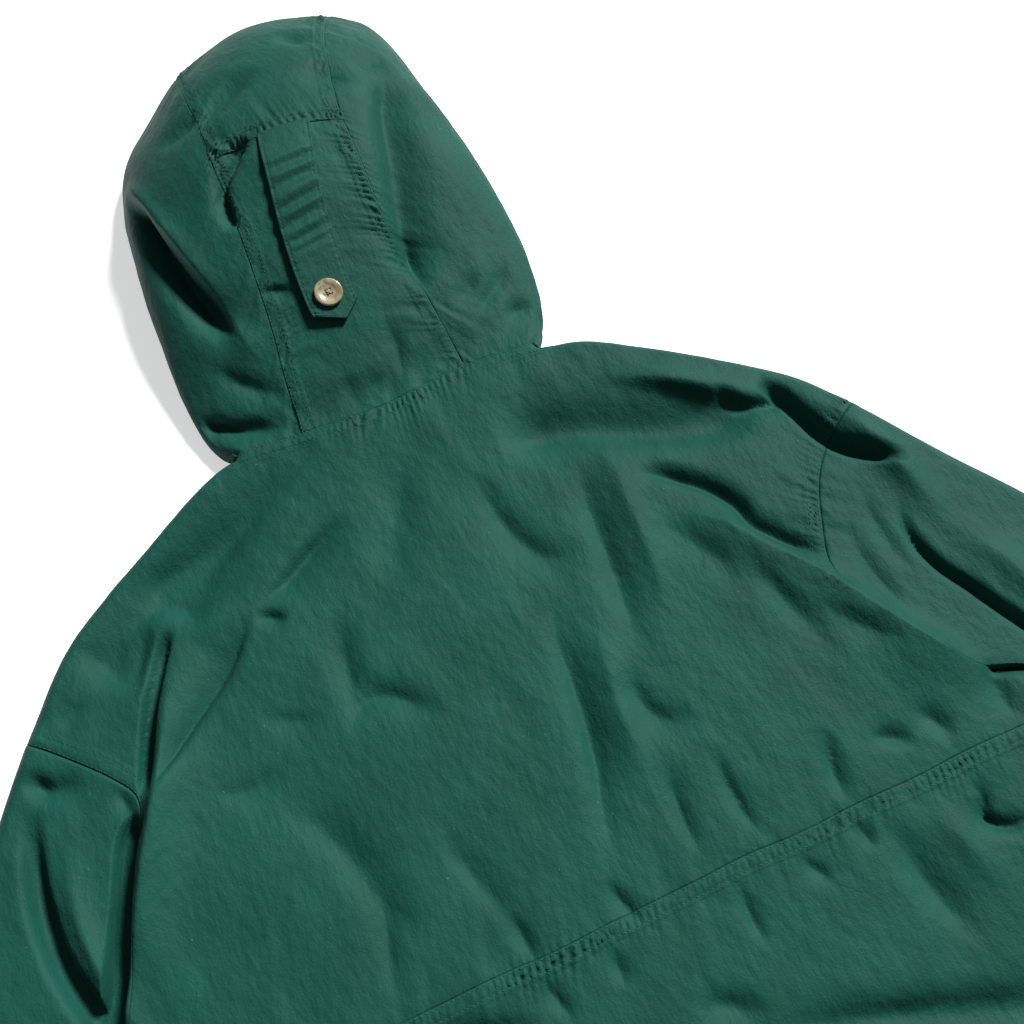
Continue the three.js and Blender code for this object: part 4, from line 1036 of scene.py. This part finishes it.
def build_front(sizes, colours):
    """The front's two panels, which lie flat on the floor under the back."""
    cloth = cloth_material(colours)
    for name, length, start, end in (
        ("front_upper", BACK_LENGTH, 0, 1 - FRONT_GAP / BACK_LENGTH),
        ("front_lower", SKIRT_LENGTH, 1 + FRONT_GAP / SKIRT_LENGTH, 2),
    ):
        columns, rows = spaced([(0, 4.5)], BODY_WIDTH), spaced([(0, 4.0)], length)
        u, v = np.meshgrid(columns, mix(start, end, rows))
        plan = front_plan(u, v)
        inside = np.minimum(np.minimum(u, 1 - u) * 600, 1)
        ripple = 0.15 * inside * noise(plan[..., 0] / 22, plan[..., 1] / 34, 121)
        height = sizes.thickness / MM + 0.2 + ripple
        grid = np.concatenate([plan, height[..., None]], -1)
        add_cloth(name, grid, sizes, cloth, lowest=0.0)


def sleeve_plan(table, edge, side, a, v):
    """Plan of a sleeve: a patch between the armhole curve, the cuff line and its outer and inner edges."""

    def armhole(a):
        return edge.point(a * ARM_PART)

    def cuff(a):
        return mix(outer(1.0), inner(1.0), np.asarray(a)[..., None])

    def outer(t):
        return table.point(t, "outer_x", "outer_y")

    def inner(t):
        return table.point(t, "inner_x", "inner_y")

    clear = SEAM_GAP * (1 - v) ** 3
    lean = np.where(a < 0.3, 0.4, -0.4)
    return patch(armhole, cuff, outer, inner, a, v) + np.stack([side * clear, clear * lean], -1)


def sleeve_grid(table, edge, side, sizes):
    """A flattened tube: its top is carried from the armhole curve to the cuff line between the sleeve's two
    long edges, and its underside lies flat on the floor. Also its top alone, and how far each point of the
    top is from the cuff, both with their columns from left to right as seen from the hood."""
    rows = spaced([(0, 1.9), (150, 3.6), (500, 1.5)], SLEEVE_LENGTH)
    top = spaced([(0, 1.3), (12, 1.9), (226, 1.3)], SLEEVE_WIDTH)
    under = spaced([(0, 5.5)], SLEEVE_WIDTH)[::-1][1:-1]
    a, v = np.meshgrid(top, rows)
    upper = sleeve_plan(table, edge, side, a, v)
    flat = upper.reshape(-1, 2)
    outer_edge = np.linalg.norm(upper - upper[:, :1], axis=-1)
    inner_edge = np.linalg.norm(upper - upper[:, -1:], axis=-1)
    rolls = roll(outer_edge) * roll(inner_edge)
    height, shift = open_height(flat, sizes)
    height = (height + armhole_relief(ARMHOLES[side > 0], flat, sizes)).reshape(a.shape)
    from_cuff = lengths_down(np.concatenate([upper, height[..., None]], -1))
    from_cuff = from_cuff[-1:] - from_cuff
    height = mix(SLEEVE_EDGE, height + hem_relief(from_cuff, sizes.cuff_hem, sizes), rolls)
    upper = np.concatenate([upper + shift.reshape(upper.shape) * rolls[..., None], height[..., None]], -1)

    a, v = np.meshgrid(under, rows)
    below = np.concatenate([sleeve_plan(table, edge, side, a, v), np.zeros_like(a)[..., None]], -1)
    ring = np.concatenate([upper, below], 1)
    if side > 0:
        return ring[:, ::-1], upper[:, ::-1], from_cuff[:, ::-1]
    return ring, upper, from_cuff


def build_sleeves(sizes, colours):
    """Both sleeves, each with one stitch row round its cuff hem."""
    cloth = cloth_material(colours)
    for name, table, edge, side in (("sleeve_left", LEFT_SLEEVE, LEFT_EDGE, -1),
                                    ("sleeve_right", RIGHT_SLEEVE, RIGHT_EDGE, 1)):
        ring, upper, from_cuff = sleeve_grid(table, edge, side, sizes)
        keep_line(*level_line(upper, from_cuff, sizes.cuff_hem / MM - HEM_ROW, down=True), 8, 8)
        add_cloth(name, ring, sizes, cloth, ring=True)


# The tab and its button


class TabForm:
    """The tab sewn into the hood's cross seam. b runs from the seam to its pointed end, a from edge to
    edge."""

    def __init__(self, sizes):
        self.hood = HoodForm(sizes)

    def place(self, a, b):
        """Where on the hood a place of the tab lies. Its end comes to a point right of the middle."""
        drop = np.where(a < TAB_PEAK, (TAB_PEAK - a) / (1 + TAB_PEAK), (a - TAB_PEAK) / (1 - TAB_PEAK))
        reach = b - TAB_POINT * drop * ease((b - 0.8) / 0.2)
        w = TAB_PATH.at(reach, "along") - 0.009 * a * (1 - ease(b / 0.4))
        half = TAB_HALF * (1 + 0.1 * (1 - ease(b / 0.3)) - 0.06 * ease((b - 0.5) / 0.5))
        x = TAB_PATH.at(reach, "x") + a * half
        return self.hood.across(x, w), w

    def lift(self, a, b):
        """Height over the hood: more at the left edge, with cross ripples in the upper part, a row pressed
        in by the stitches with small puckers beside it, and edges that round down."""
        lift = mix(2.2, 4.9 - 2.4 * (a + 1) / 2, ease(b / 0.16)) + 0.9 * ease((b - 0.7) / 0.3)
        length = b * TAB_LENGTH
        ripple = np.cos(2 * np.pi * (length / 12.5 + 0.3 * noise(length / 20, a * 0, 131) + 0.08 * a))
        window = ease((b - 0.07) / 0.12) * ease((0.66 - b) / 0.2)
        lift = lift + 1.5 * ripple * window * (1 - 0.6 * a**4) * (0.7 + 0.3 * noise(length / 15, a * 0, 132))
        edge = TAB_HALF * (1 - np.abs(a))
        stitched = np.exp(-(((edge - TAB_ROW) / 0.9) ** 2))
        pucker = np.cos(2 * np.pi * (length / 6.2 + noise(length / 11, a * 0, 133)))
        lift = lift - 0.35 * stitched + 0.22 * pucker * np.exp(-(((edge - 3.4) / 2.4) ** 2))
        return lift - 0.9 * (1 - roll(edge, 1.3)) - 0.9 * (1 - roll(TAB_LENGTH * (1 - b) / 0.9, 1.3))

    def point(self, a, b):
        """Places on the tab's outer face."""
        s, w = self.place(a, b)
        return self.hood.point(s, w) + self.hood.outward(s, w) * self.lift(a, b)[..., None]


def build_tab(sizes, colours):
    """The tab: a double ply strip with a turned and stitched edge, lifted off the hood at its left side."""
    columns = spaced([(0, 0.45), (4, 1.1), (28.4, 0.45)], 32.4) * 2 - 1
    rows = spaced([(0, 1.15), (150, 0.5)], TAB_LENGTH)
    a, b = np.meshgrid(columns, rows)
    grid = TabForm(sizes).point(a, b)
    edge = TAB_HALF * (1 - np.abs(a))
    for half in (slice(None, a.shape[1] // 2 + 1), slice(a.shape[1] // 2, None)):
        keep_line(*level_line(grid[:, half], edge[:, half], TAB_ROW), 1.0, 2.6)
    keep_line(*level_line(grid, TAB_LENGTH * (1 - b), TAB_END_ROW, down=True), 2.4, 2.4)
    add_cloth("hood_tab", grid, sizes, cloth_material(colours), thickness=2 * sizes.thickness)


# Turned profile of the button from the middle of its underside, over the rim, to the middle of its dish:
# part of the radius and part of the thickness
BUTTON_PROFILE = [
    (0, -0.05), (0.5, -0.05), (0.82, -0.02), (0.93, 0.16), (0.985, 0.38), (1, 0.62), (0.985, 0.84),
    (0.94, 0.97), (0.87, 1), (0.78, 0.985), (0.68, 0.93), (0.58, 0.82), (0.5, 0.72), (0.4, 0.66),
    (0.3, 0.645), (0.2, 0.64), (0.1, 0.64), (0, 0.64),
]


def button_seat(form):
    """Where the button sits on the tab, and its own directions: across the tab, up the tab, outward."""
    a, b = np.array([0.0]), np.array([BUTTON_PLACE])
    seat = form.point(a, b)[0]
    across = form.point(a + 0.2, b)[0] - form.point(a - 0.2, b)[0]
    down = form.point(a, b + 0.04)[0] - form.point(a, b - 0.04)[0]
    up = np.cross(down, across)
    up /= np.linalg.norm(up)
    across -= up * (across @ up)
    across /= np.linalg.norm(across)
    return seat, np.stack([across, np.cross(up, across), up])


def hole_turn(number):
    """Angle of one of the button's four holes."""
    return math.pi / 4 + number * math.pi / 2


def button_rings(radius):
    """Rings of the button's surface: the profile carried round, with four holes pressed into the dish."""
    path = rounded_path(BUTTON_PROFILE, 4) * [radius, BUTTON_THICKNESS]
    out, up = np.maximum(path[:, :1], 0), path[:, 1:]
    angle = np.arange(BUTTON_TURNS) * 2 * np.pi / BUTTON_TURNS
    x, y = out * np.cos(angle), out * np.sin(angle)
    z = np.repeat(up, BUTTON_TURNS, 1)
    for number in range(4):
        turn = hole_turn(number)
        gap = np.hypot(x - HOLE_RING * math.cos(turn), y - HOLE_RING * math.sin(turn))
        z = z - np.where(up > BUTTON_THICKNESS * 0.5, 1.5 * ease((HOLE_RADIUS - gap) / 0.45), 0)
    return np.stack([x, y, z + BUTTON_LIFT], -1)


def build_button(sizes, colours):
    """The button: thin at the rim and dished in the middle, its rings joined by four-sided faces and its two
    middles closed by fans, with two crossed loops of thread."""
    seat, directions = button_seat(TabForm(sizes))
    rings = button_rings(sizes.button_width / MM / 2)
    middles = rings[[0, -1], 0]
    local = np.vstack([rings[1:-1].reshape(-1, 3), middles])
    rows, turns = len(rings) - 2, BUTTON_TURNS
    i, j = np.meshgrid(np.arange(rows - 1), np.arange(turns), indexing="ij")
    k = (j + 1) % turns
    quads = np.stack([i * turns + j, i * turns + k, (i + 1) * turns + k, (i + 1) * turns + j], -1)
    first, last = rows * turns, rows * turns + 1
    j, k = j[0], k[0]
    under = np.stack([np.full(turns, first), k, j], -1)
    over = np.stack([np.full(turns, last), (rows - 1) * turns + j, (rows - 1) * turns + k], -1)
    faces = [quads.reshape(-1, 4), under, over]
    places = [local[f][..., :2] for f in faces]
    button = add_mesh("horn_button", seat + local @ directions, faces, horn_material(colours), places)
    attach(button, "root")
    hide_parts("tab_button")
    build_button_thread(seat, directions, colours)


def build_button_thread(seat, directions, colours):
    """Thread through the button's holes: two pairs of strands that cross, each bowed up in its middle."""
    ties = []
    t = np.linspace(-1, 1, 13)
    for number in range(2):
        turn = hole_turn(number)
        along = np.array([math.cos(turn), math.sin(turn), 0])
        beside = np.array([-math.sin(turn), math.cos(turn), 0])
        for side in (-0.32, 0.32):
            line = t[:, None] * along * (HOLE_RING + 0.15) + side * beside
            line[:, 2] = 0.64 * BUTTON_THICKNESS + 0.72 + 0.25 * number - 1.6 * np.abs(t) ** 5
            ties.append(seat + line @ directions)
    material = thread_material("button thread", colours.button_thread)
    thread = tube_mesh("button_thread", ties, 0.3, material)
    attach(thread, "root")


def tube_mesh(name, lines, radius, material, sides=8):
    """Round threads: a ring of points carried along each line, with closed ends."""
    points, faces = [], []
    count = 0
    angle = np.arange(sides) * 2 * np.pi / sides
    cosine, sine = np.cos(angle)[:, None], np.sin(angle)[:, None]
    for line in lines:
        tangent = np.gradient(line, axis=0)
        tangent /= np.linalg.norm(tangent, axis=1, keepdims=True)
        side = np.cross(tangent, [0.3, 0.2, 1.0])
        side /= np.linalg.norm(side, axis=1, keepdims=True)
        up = np.cross(side, tangent)
        ring = line[:, None] + radius * (cosine * side[:, None] + sine * up[:, None])
        n = len(line)
        points.append(ring.reshape(-1, 3))
        i, j = np.meshgrid(np.arange(n - 1), np.arange(sides), indexing="ij")
        k = (j + 1) % sides
        quads = np.stack([i * sides + j, (i + 1) * sides + j, (i + 1) * sides + k, i * sides + k], -1)
        faces.append(quads.reshape(-1, 4) + count)
        caps = np.stack([np.arange(sides), (n - 1) * sides + np.arange(sides)[::-1]])
        faces.append(caps + count)
        count += n * sides
    return add_mesh(name, np.vstack(points), faces, material)


# Stitches


TACKS_X = (-26, 22)
TACK_THREAD = 2.6


def bar_tacks(sizes):
    """Places of the two bar tacks that stand across the neck seam's band: short threads side by side."""
    centres, tangents = [], []
    for x in TACKS_X:
        y = np.interp(x, NECK_LINE[:, 0], NECK_LINE[:, 1])
        down = np.arange(0.2, sizes.band / MM + 1.0, 0.62)
        plan = np.column_stack([x + 0.25 * down, y - down])
        centres.append(body_surface(plan, sizes) + [0, 0, 0.25])
        tangents.append(np.tile([0.97, 0.24, 0.0], (len(down), 1)))
    centres, tangents = np.vstack(centres), np.vstack(tangents)
    return centres, tangents, np.tile([0.0, 0, 1], (len(centres), 1))


def build_stitches(sizes, colours):
    """Every stitch row as small raised threads, laid end to end along the kept lines with a gap between."""
    centres, tangents, normals = [], [], []
    pitch, length = sizes.stitch_step / MM, sizes.stitch_length / MM
    for line, outward, start, end in STITCH_LINES:
        run = np.concatenate([[0], np.cumsum(np.linalg.norm(np.diff(line, axis=0), axis=1))])
        at = np.arange(start + pitch / 2, run[-1] - end, pitch)
        if not len(at):
            continue

        def along(values, places):
            """Values read off at places along the line."""
            return np.stack([np.interp(places, run, values[:, k]) for k in range(3)], -1)

        centres.append(along(line, at))
        tangents.append(along(line, at + length / 2) - along(line, at - length / 2))
        normals.append(along(outward, at))
    spans = [length] * sum(len(c) for c in centres)
    tack_centres, tack_tangents, tack_normals = bar_tacks(sizes)
    centre = np.vstack(centres + [tack_centres])
    tangent = np.vstack(tangents + [tack_tangents])
    normal = np.vstack(normals + [tack_normals])
    span = np.array(spans + [TACK_THREAD] * len(tack_centres))[:, None, None]
    tangent /= np.linalg.norm(tangent, axis=1, keepdims=True)
    beside = np.cross(tangent, normal)
    beside /= np.linalg.norm(beside, axis=1, keepdims=True)
    normal = np.cross(beside, tangent)
    width = sizes.stitch_width / MM / 2
    stations = np.array([-0.5, -0.32, 0.32, 0.5])
    rise = np.array([-0.12, 0.16, 0.16, -0.12])
    girth = np.array([0.45, 1, 1, 0.45])
    turn = np.arange(6) * math.pi / 3
    middle = centre[:, None] + tangent[:, None] * stations[:, None] * span + normal[:, None] * rise[:, None]
    ring = np.cos(turn)[:, None] * beside[:, None, None]
    ring = ring + 0.7 * np.sin(turn)[:, None] * normal[:, None, None]
    points = middle[:, :, None] + ring * (girth * width)[:, None, None]
    count = len(centre)
    i, j = np.meshgrid(np.arange(3), np.arange(6), indexing="ij")
    k = (j + 1) % 6
    quads = np.stack([i * 6 + j, (i + 1) * 6 + j, (i + 1) * 6 + k, i * 6 + k], -1).reshape(-1, 4)
    caps = np.array([np.arange(6), 18 + np.arange(6)[::-1]])
    offsets = (np.arange(count) * 24)[:, None, None]
    faces = [(quads + offsets).reshape(-1, 4), (caps + offsets).reshape(-1, 6)]
    piece = add_mesh("seam_stitches", points.reshape(-1, 3), faces,
                     thread_material("seam thread", colours.thread))
    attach(piece, "root")


# Materials


def new_material(name, colour, roughness):
    """Material with a Principled shader; returns its node tree, shader and material."""
    material = bpy.data.materials.new(name)
    material.use_nodes = True
    tree = material.node_tree
    shader = tree.nodes["Principled BSDF"]
    shader.inputs["Base Color"].default_value = (*colour, 1)
    shader.inputs["Roughness"].default_value = roughness
    return tree, shader, material


def noise_node(tree, place, scale, detail):
    """Soft random pattern of a given scale, finer the more detail it has."""
    node = tree.nodes.new("ShaderNodeTexNoise")
    node.inputs["Scale"].default_value = scale
    node.inputs["Detail"].default_value = detail
    tree.links.new(place, node.inputs["Vector"])
    return node.outputs["Fac"]


def blend_colours(tree, factor, first, second, low=0.3, high=0.7):
    """Colour that runs from first to second as factor goes from low to high."""
    ramp = tree.nodes.new("ShaderNodeValToRGB")
    ramp.color_ramp.elements[0].position = low
    ramp.color_ramp.elements[1].position = high
    ramp.color_ramp.elements[0].color = (*first, 1)
    ramp.color_ramp.elements[1].color = (*second, 1)
    tree.links.new(factor, ramp.inputs["Fac"])
    return ramp.outputs["Color"]


def laid_over(tree, mask, under, colour):
    """One colour laid over a pattern of colours where the mask is white."""
    mixed = tree.nodes.new("ShaderNodeMix")
    mixed.data_type = "RGBA"
    tree.links.new(mask, mixed.inputs["Factor"])
    tree.links.new(under, mixed.inputs[6])
    mixed.inputs[7].default_value = (*colour, 1)
    return mixed.outputs[2]


def stretched_place(tree, place):
    """Coordinates in which patterns come out longer along the cloth's length than across it."""
    mapping = tree.nodes.new("ShaderNodeMapping")
    mapping.inputs["Scale"].default_value = (1, 0.5, 1)
    tree.links.new(place, mapping.inputs["Vector"])
    return mapping.outputs["Vector"]


def bump_node(tree, height, strength, distance, under=None):
    """Bump of a pattern, over another bump where one is given."""
    bump = tree.nodes.new("ShaderNodeBump")
    bump.inputs["Strength"].default_value = strength
    bump.inputs["Distance"].default_value = distance
    tree.links.new(height, bump.inputs["Height"])
    if under:
        tree.links.new(under, bump.inputs["Normal"])
    return bump.outputs["Normal"]


def cloth_material(colours):
    """Washed dark green cotton: soft mottling between two greens, a few pale flecks of lint, a fine slubby
    bump, and a weak sheen at grazing angles."""
    made = bpy.data.materials.get("smock cloth")
    if made:
        return made
    tree, shader, material = new_material("smock cloth", colours.cloth, 0.62)
    place = tree.nodes.new("ShaderNodeTexCoord").outputs["Object"]
    broad = noise_node(tree, place, 26, 3.0)
    dark = tuple(0.9 * c for c in colours.cloth[:3])
    light = tuple(1.1 * c for c in colours.cloth[:3])
    body = blend_colours(tree, broad, dark, light, 0.35, 0.65)
    fleck = blend_colours(tree, noise_node(tree, place, 520, 1.0), (0, 0, 0), (1, 1, 1), 0.765, 0.83)
    tree.links.new(laid_over(tree, fleck, body, colours.lint), shader.inputs["Base Color"])
    crinkle = noise_node(tree, stretched_place(tree, place), 250, 7.0)
    crinkle = bump_node(tree, crinkle, 0.6, 0.0013)
    slub = bump_node(tree, noise_node(tree, place, 820, 3.0), 0.45, 0.00055, crinkle)
    tree.links.new(slub, shader.inputs["Normal"])
    shader.inputs["Sheen Weight"].default_value = 0.012
    shader.inputs["Sheen Roughness"].default_value = 0.4
    shader.inputs["Specular IOR Level"].default_value = 0.1
    return material


def thread_material(name, colour):
    """Sewing thread: one colour with slight changes of tone along it."""
    made = bpy.data.materials.get(name)
    if made:
        return made
    tree, shader, material = new_material(name, colour, 0.7)
    place = tree.nodes.new("ShaderNodeTexCoord").outputs["Object"]
    tone = noise_node(tree, place, 700, 1.0)
    colour = tuple(colour[:3])
    body = blend_colours(tree, tone, tuple(0.8 * c for c in colour), tuple(min(1.15 * c, 1) for c in colour))
    tree.links.new(body, shader.inputs["Base Color"])
    return material


def horn_material(colours):
    """Pale horn: cream and yellow clouds with brown streaks toward parts of the rim, polished."""
    tree, shader, material = new_material("pale horn", colours.horn, 0.24)
    place = tree.nodes.new("ShaderNodeTexCoord").outputs["Object"]
    clouds = noise_node(tree, place, 90, 3.0)
    clouds = blend_colours(tree, clouds, colours.horn_shade, colours.horn, 0.36, 0.58)
    streaks = blend_colours(tree, noise_node(tree, place, 130, 4.0), (0, 0, 0), (1, 1, 1), 0.53, 0.68)
    tree.links.new(laid_over(tree, streaks, clouds, colours.horn_dark), shader.inputs["Base Color"])
    shader.inputs["Coat Weight"].default_value = 0.3
    shader.inputs["Coat Roughness"].default_value = 0.15
    return material


# Stage


def build_stage(sizes, colours):
    """Pale light table as the floor, key light from the upper right, a pale sky and the camera."""
    bpy.ops.mesh.primitive_plane_add(size=FLOOR_SIZE, location=(0, 0, -FLOOR_DROP))
    floor = bpy.context.object
    floor.name = "floor"
    _, shader, material = new_material("pale floor", colours.floor, 0.9)
    shader.inputs["Emission Color"].default_value = (1, 1, 1, 1)
    shader.inputs["Emission Strength"].default_value = sizes.floor_light
    floor.data.materials.append(material)

    light = bpy.data.lights.new("key light", "SUN")
    light.energy = sizes.key_light
    light.angle = math.radians(LIGHT_SIZE)
    light.color = LIGHT_COLOUR
    lamp = bpy.data.objects.new("key light", light)
    bpy.context.scene.collection.objects.link(lamp)
    lamp.rotation_euler = (math.radians(90 - LIGHT_HEIGHT), 0, math.radians(90 + LIGHT_TURN))

    world = bpy.data.worlds.new("pale sky")
    world.use_nodes = True
    sky = world.node_tree.nodes["Background"]
    sky.inputs["Color"].default_value = (*SKY_COLOUR, 1)
    sky.inputs["Strength"].default_value = sizes.sky_light
    bpy.context.scene.world = world
    bpy.context.scene.view_settings.view_transform = "Standard"

    turn, tilt = math.radians(CAMERA_AZIMUTH), math.radians(CAMERA_ELEVATION)
    back = np.array([math.sin(turn) * math.cos(tilt), -math.cos(turn) * math.cos(tilt), math.sin(tilt)])
    eye = (np.array(CAMERA_TARGET) + PLACE + back * CAMERA_DISTANCE) * MM
    camera = bpy.data.cameras.new("camera")
    camera.lens = CAMERA_LENS
    camera.sensor_width = CAMERA_SENSOR
    camera.clip_start = 0.01
    stand = bpy.data.objects.new("camera", camera)
    bpy.context.scene.collection.objects.link(stand)
    stand.location = eye
    stand.rotation_euler = (math.pi / 2 - tilt, 0, turn)
    bpy.context.scene.camera = stand


# Add-on


def length(name, default, description):
    """Setting that is a length in metres."""
    return bpy.props.FloatProperty(
        name=name, default=default, description=description, min=0, unit="LENGTH", precision=5)


def factor(name, default, description):
    """Setting that is a plain strength."""
    return bpy.props.FloatProperty(
        name=name, default=default, description=description, min=0, subtype="FACTOR")


def colour(name, default, description):
    """Setting that is a colour."""
    return bpy.props.FloatVectorProperty(
        name=name, default=default, description=description, size=3, min=0, max=1, subtype="COLOR")


class SmockSizes(bpy.types.PropertyGroup):
    """Sizes of the cloth, its seams and its folds, and strengths of the lights."""

    thickness: length("Cloth", 0.0008, "Thickness of the cloth")
    ply: length("Seam ply", 0.0005, "How far a felled seam stands up")
    band: length("Seam band", 0.008, "Width of a felled seam")
    row_inset: length("Row inset", 0.0012, "From a seam line to its first stitch row")
    groove: length("Groove", 0.00045, "Depth of the groove under a stitch row")
    pucker_step: length("Gather spacing", 0.0046, "Distance between gathers along a seam")
    pucker: length("Gather height", 0.0013, "Height of the gathers of a seam")
    hem: length("Hem", 0.02, "Width of the turned hem")
    cuff_hem: length("Cuff hem", 0.02, "Width of the turned cuff hem")
    stitch_length: length("Stitch", 0.0023, "Length of one stitch")
    stitch_step: length("Stitch spacing", 0.0031, "Distance between stitches")
    stitch_width: length("Thread", 0.00042, "Thickness of the sewing thread")
    button_width: length("Button", 0.0195, "Diameter of the button")
    fold_strength: factor("Folds", 1.25, "Strength of the folds")
    crumple: factor("Crumple", 0.85, "Strength of the loose unevenness")
    key_light: factor("Key light", 6.4, "Strength of the key light")
    floor_light: factor("Floor light", 0.55, "Strength of the light of the table under the smock")
    sky_light: factor("Sky light", 0.13, "Strength of the light from all round")


class SmockColours(bpy.types.PropertyGroup):
    """Colours of the cloth, threads, button and floor."""

    cloth: colour("Cloth", (0.0066, 0.0605, 0.0455), "Green of the cloth")
    lint: colour("Lint", (0.04, 0.13, 0.1), "Colour of the pale flecks on the cloth")
    thread: colour("Seam thread", (0.012, 0.075, 0.056), "Colour of the seam thread")
    button_thread: colour("Button thread", (0.34, 0.3, 0.2), "Colour of the thread that holds the button")
    horn: colour("Horn", (0.34, 0.3, 0.2), "Main colour of the button")
    horn_shade: colour("Horn shade", (0.22, 0.17, 0.09), "Darker clouds of the button")
    horn_dark: colour("Horn streaks", (0.07, 0.045, 0.04), "Brown streaks of the button")
    floor: colour("Floor", (0.9, 0.9, 0.9), "Colour of the floor")


class SMOCK_OT_stage(bpy.types.Operator):
    """Makes the floor, the lights and the camera"""

    bl_idname = "smock.stage"
    bl_label = "Stage"

    def execute(self, context):
        build_stage(context.scene.smock_sizes, context.scene.smock_colours)
        return {"FINISHED"}


class SMOCK_OT_front(bpy.types.Operator):
    """Makes the two front panels, flat on the floor"""

    bl_idname = "smock.front"
    bl_label = "Front"

    def execute(self, context):
        build_front(context.scene.smock_sizes, context.scene.smock_colours)
        return {"FINISHED"}


class SMOCK_OT_back(bpy.types.Operator):
    """Makes the two back panels with their folds, seams and hem"""

    bl_idname = "smock.back"
    bl_label = "Back"

    def execute(self, context):
        build_back(context.scene.smock_sizes, context.scene.smock_colours)
        return {"FINISHED"}


class SMOCK_OT_sleeves(bpy.types.Operator):
    """Makes both sleeves with their cuff hems"""

    bl_idname = "smock.sleeves"
    bl_label = "Sleeves"

    def execute(self, context):
        build_sleeves(context.scene.smock_sizes, context.scene.smock_colours)
        return {"FINISHED"}


class SMOCK_OT_hood(bpy.types.Operator):
    """Makes the hood's side and centre panels"""

    bl_idname = "smock.hood"
    bl_label = "Hood"

    def execute(self, context):
        build_hood(context.scene.smock_sizes, context.scene.smock_colours)
        return {"FINISHED"}


class SMOCK_OT_face_band(bpy.types.Operator):
    """Makes the casing round the face opening"""

    bl_idname = "smock.face_band"
    bl_label = "Hood casing"

    def execute(self, context):
        build_face_band(context.scene.smock_sizes, context.scene.smock_colours)
        return {"FINISHED"}


class SMOCK_OT_tab(bpy.types.Operator):
    """Makes the tab on the back of the hood"""

    bl_idname = "smock.tab"
    bl_label = "Tab"

    def execute(self, context):
        build_tab(context.scene.smock_sizes, context.scene.smock_colours)
        return {"FINISHED"}


class SMOCK_OT_button(bpy.types.Operator):
    """Makes the tab's button and the thread through its holes"""

    bl_idname = "smock.button"
    bl_label = "Button"

    def execute(self, context):
        build_button(context.scene.smock_sizes, context.scene.smock_colours)
        return {"FINISHED"}


class SMOCK_OT_stitching(bpy.types.Operator):
    """Makes every stitch row kept while the cloth was made, so it comes last"""

    bl_idname = "smock.stitching"
    bl_label = "Stitching"

    def execute(self, context):
        build_stitches(context.scene.smock_sizes, context.scene.smock_colours)
        return {"FINISHED"}


STEPS = ["stage", "front", "back", "sleeves", "hood", "face_band", "tab", "button", "stitching"]


class SMOCK_PT_panel(bpy.types.Panel):
    """Sizes, colours and making steps of the smock"""

    bl_idname = "SMOCK_PT_panel"
    bl_label = "Anorak smock"
    bl_space_type = "VIEW_3D"
    bl_region_type = "UI"
    bl_category = "Smock"

    def draw(self, context):
        for step in STEPS:
            self.layout.operator("smock." + step)
        for group in (context.scene.smock_sizes, context.scene.smock_colours):
            box = self.layout.box()
            for name in group.__annotations__:
                box.prop(group, name)


CLASSES = [
    SmockSizes, SmockColours, SMOCK_OT_stage, SMOCK_OT_front, SMOCK_OT_back, SMOCK_OT_sleeves, SMOCK_OT_hood,
    SMOCK_OT_face_band, SMOCK_OT_tab, SMOCK_OT_button, SMOCK_OT_stitching, SMOCK_PT_panel,
]


def register():
    """Adds the settings, the making steps and the panel."""
    for made in CLASSES:
        bpy.utils.register_class(made)
    bpy.types.Scene.smock_sizes = bpy.props.PointerProperty(type=SmockSizes)
    bpy.types.Scene.smock_colours = bpy.props.PointerProperty(type=SmockColours)


def unregister():
    """Takes them away again."""
    del bpy.types.Scene.smock_colours
    del bpy.types.Scene.smock_sizes
    for made in reversed(CLASSES):
        bpy.utils.unregister_class(made)


def main():
    """Adds the settings and makes the whole smock, step by step."""
    register()
    for step in STEPS:
        getattr(bpy.ops.smock, step)()


if __name__ == "__main__":
    main()
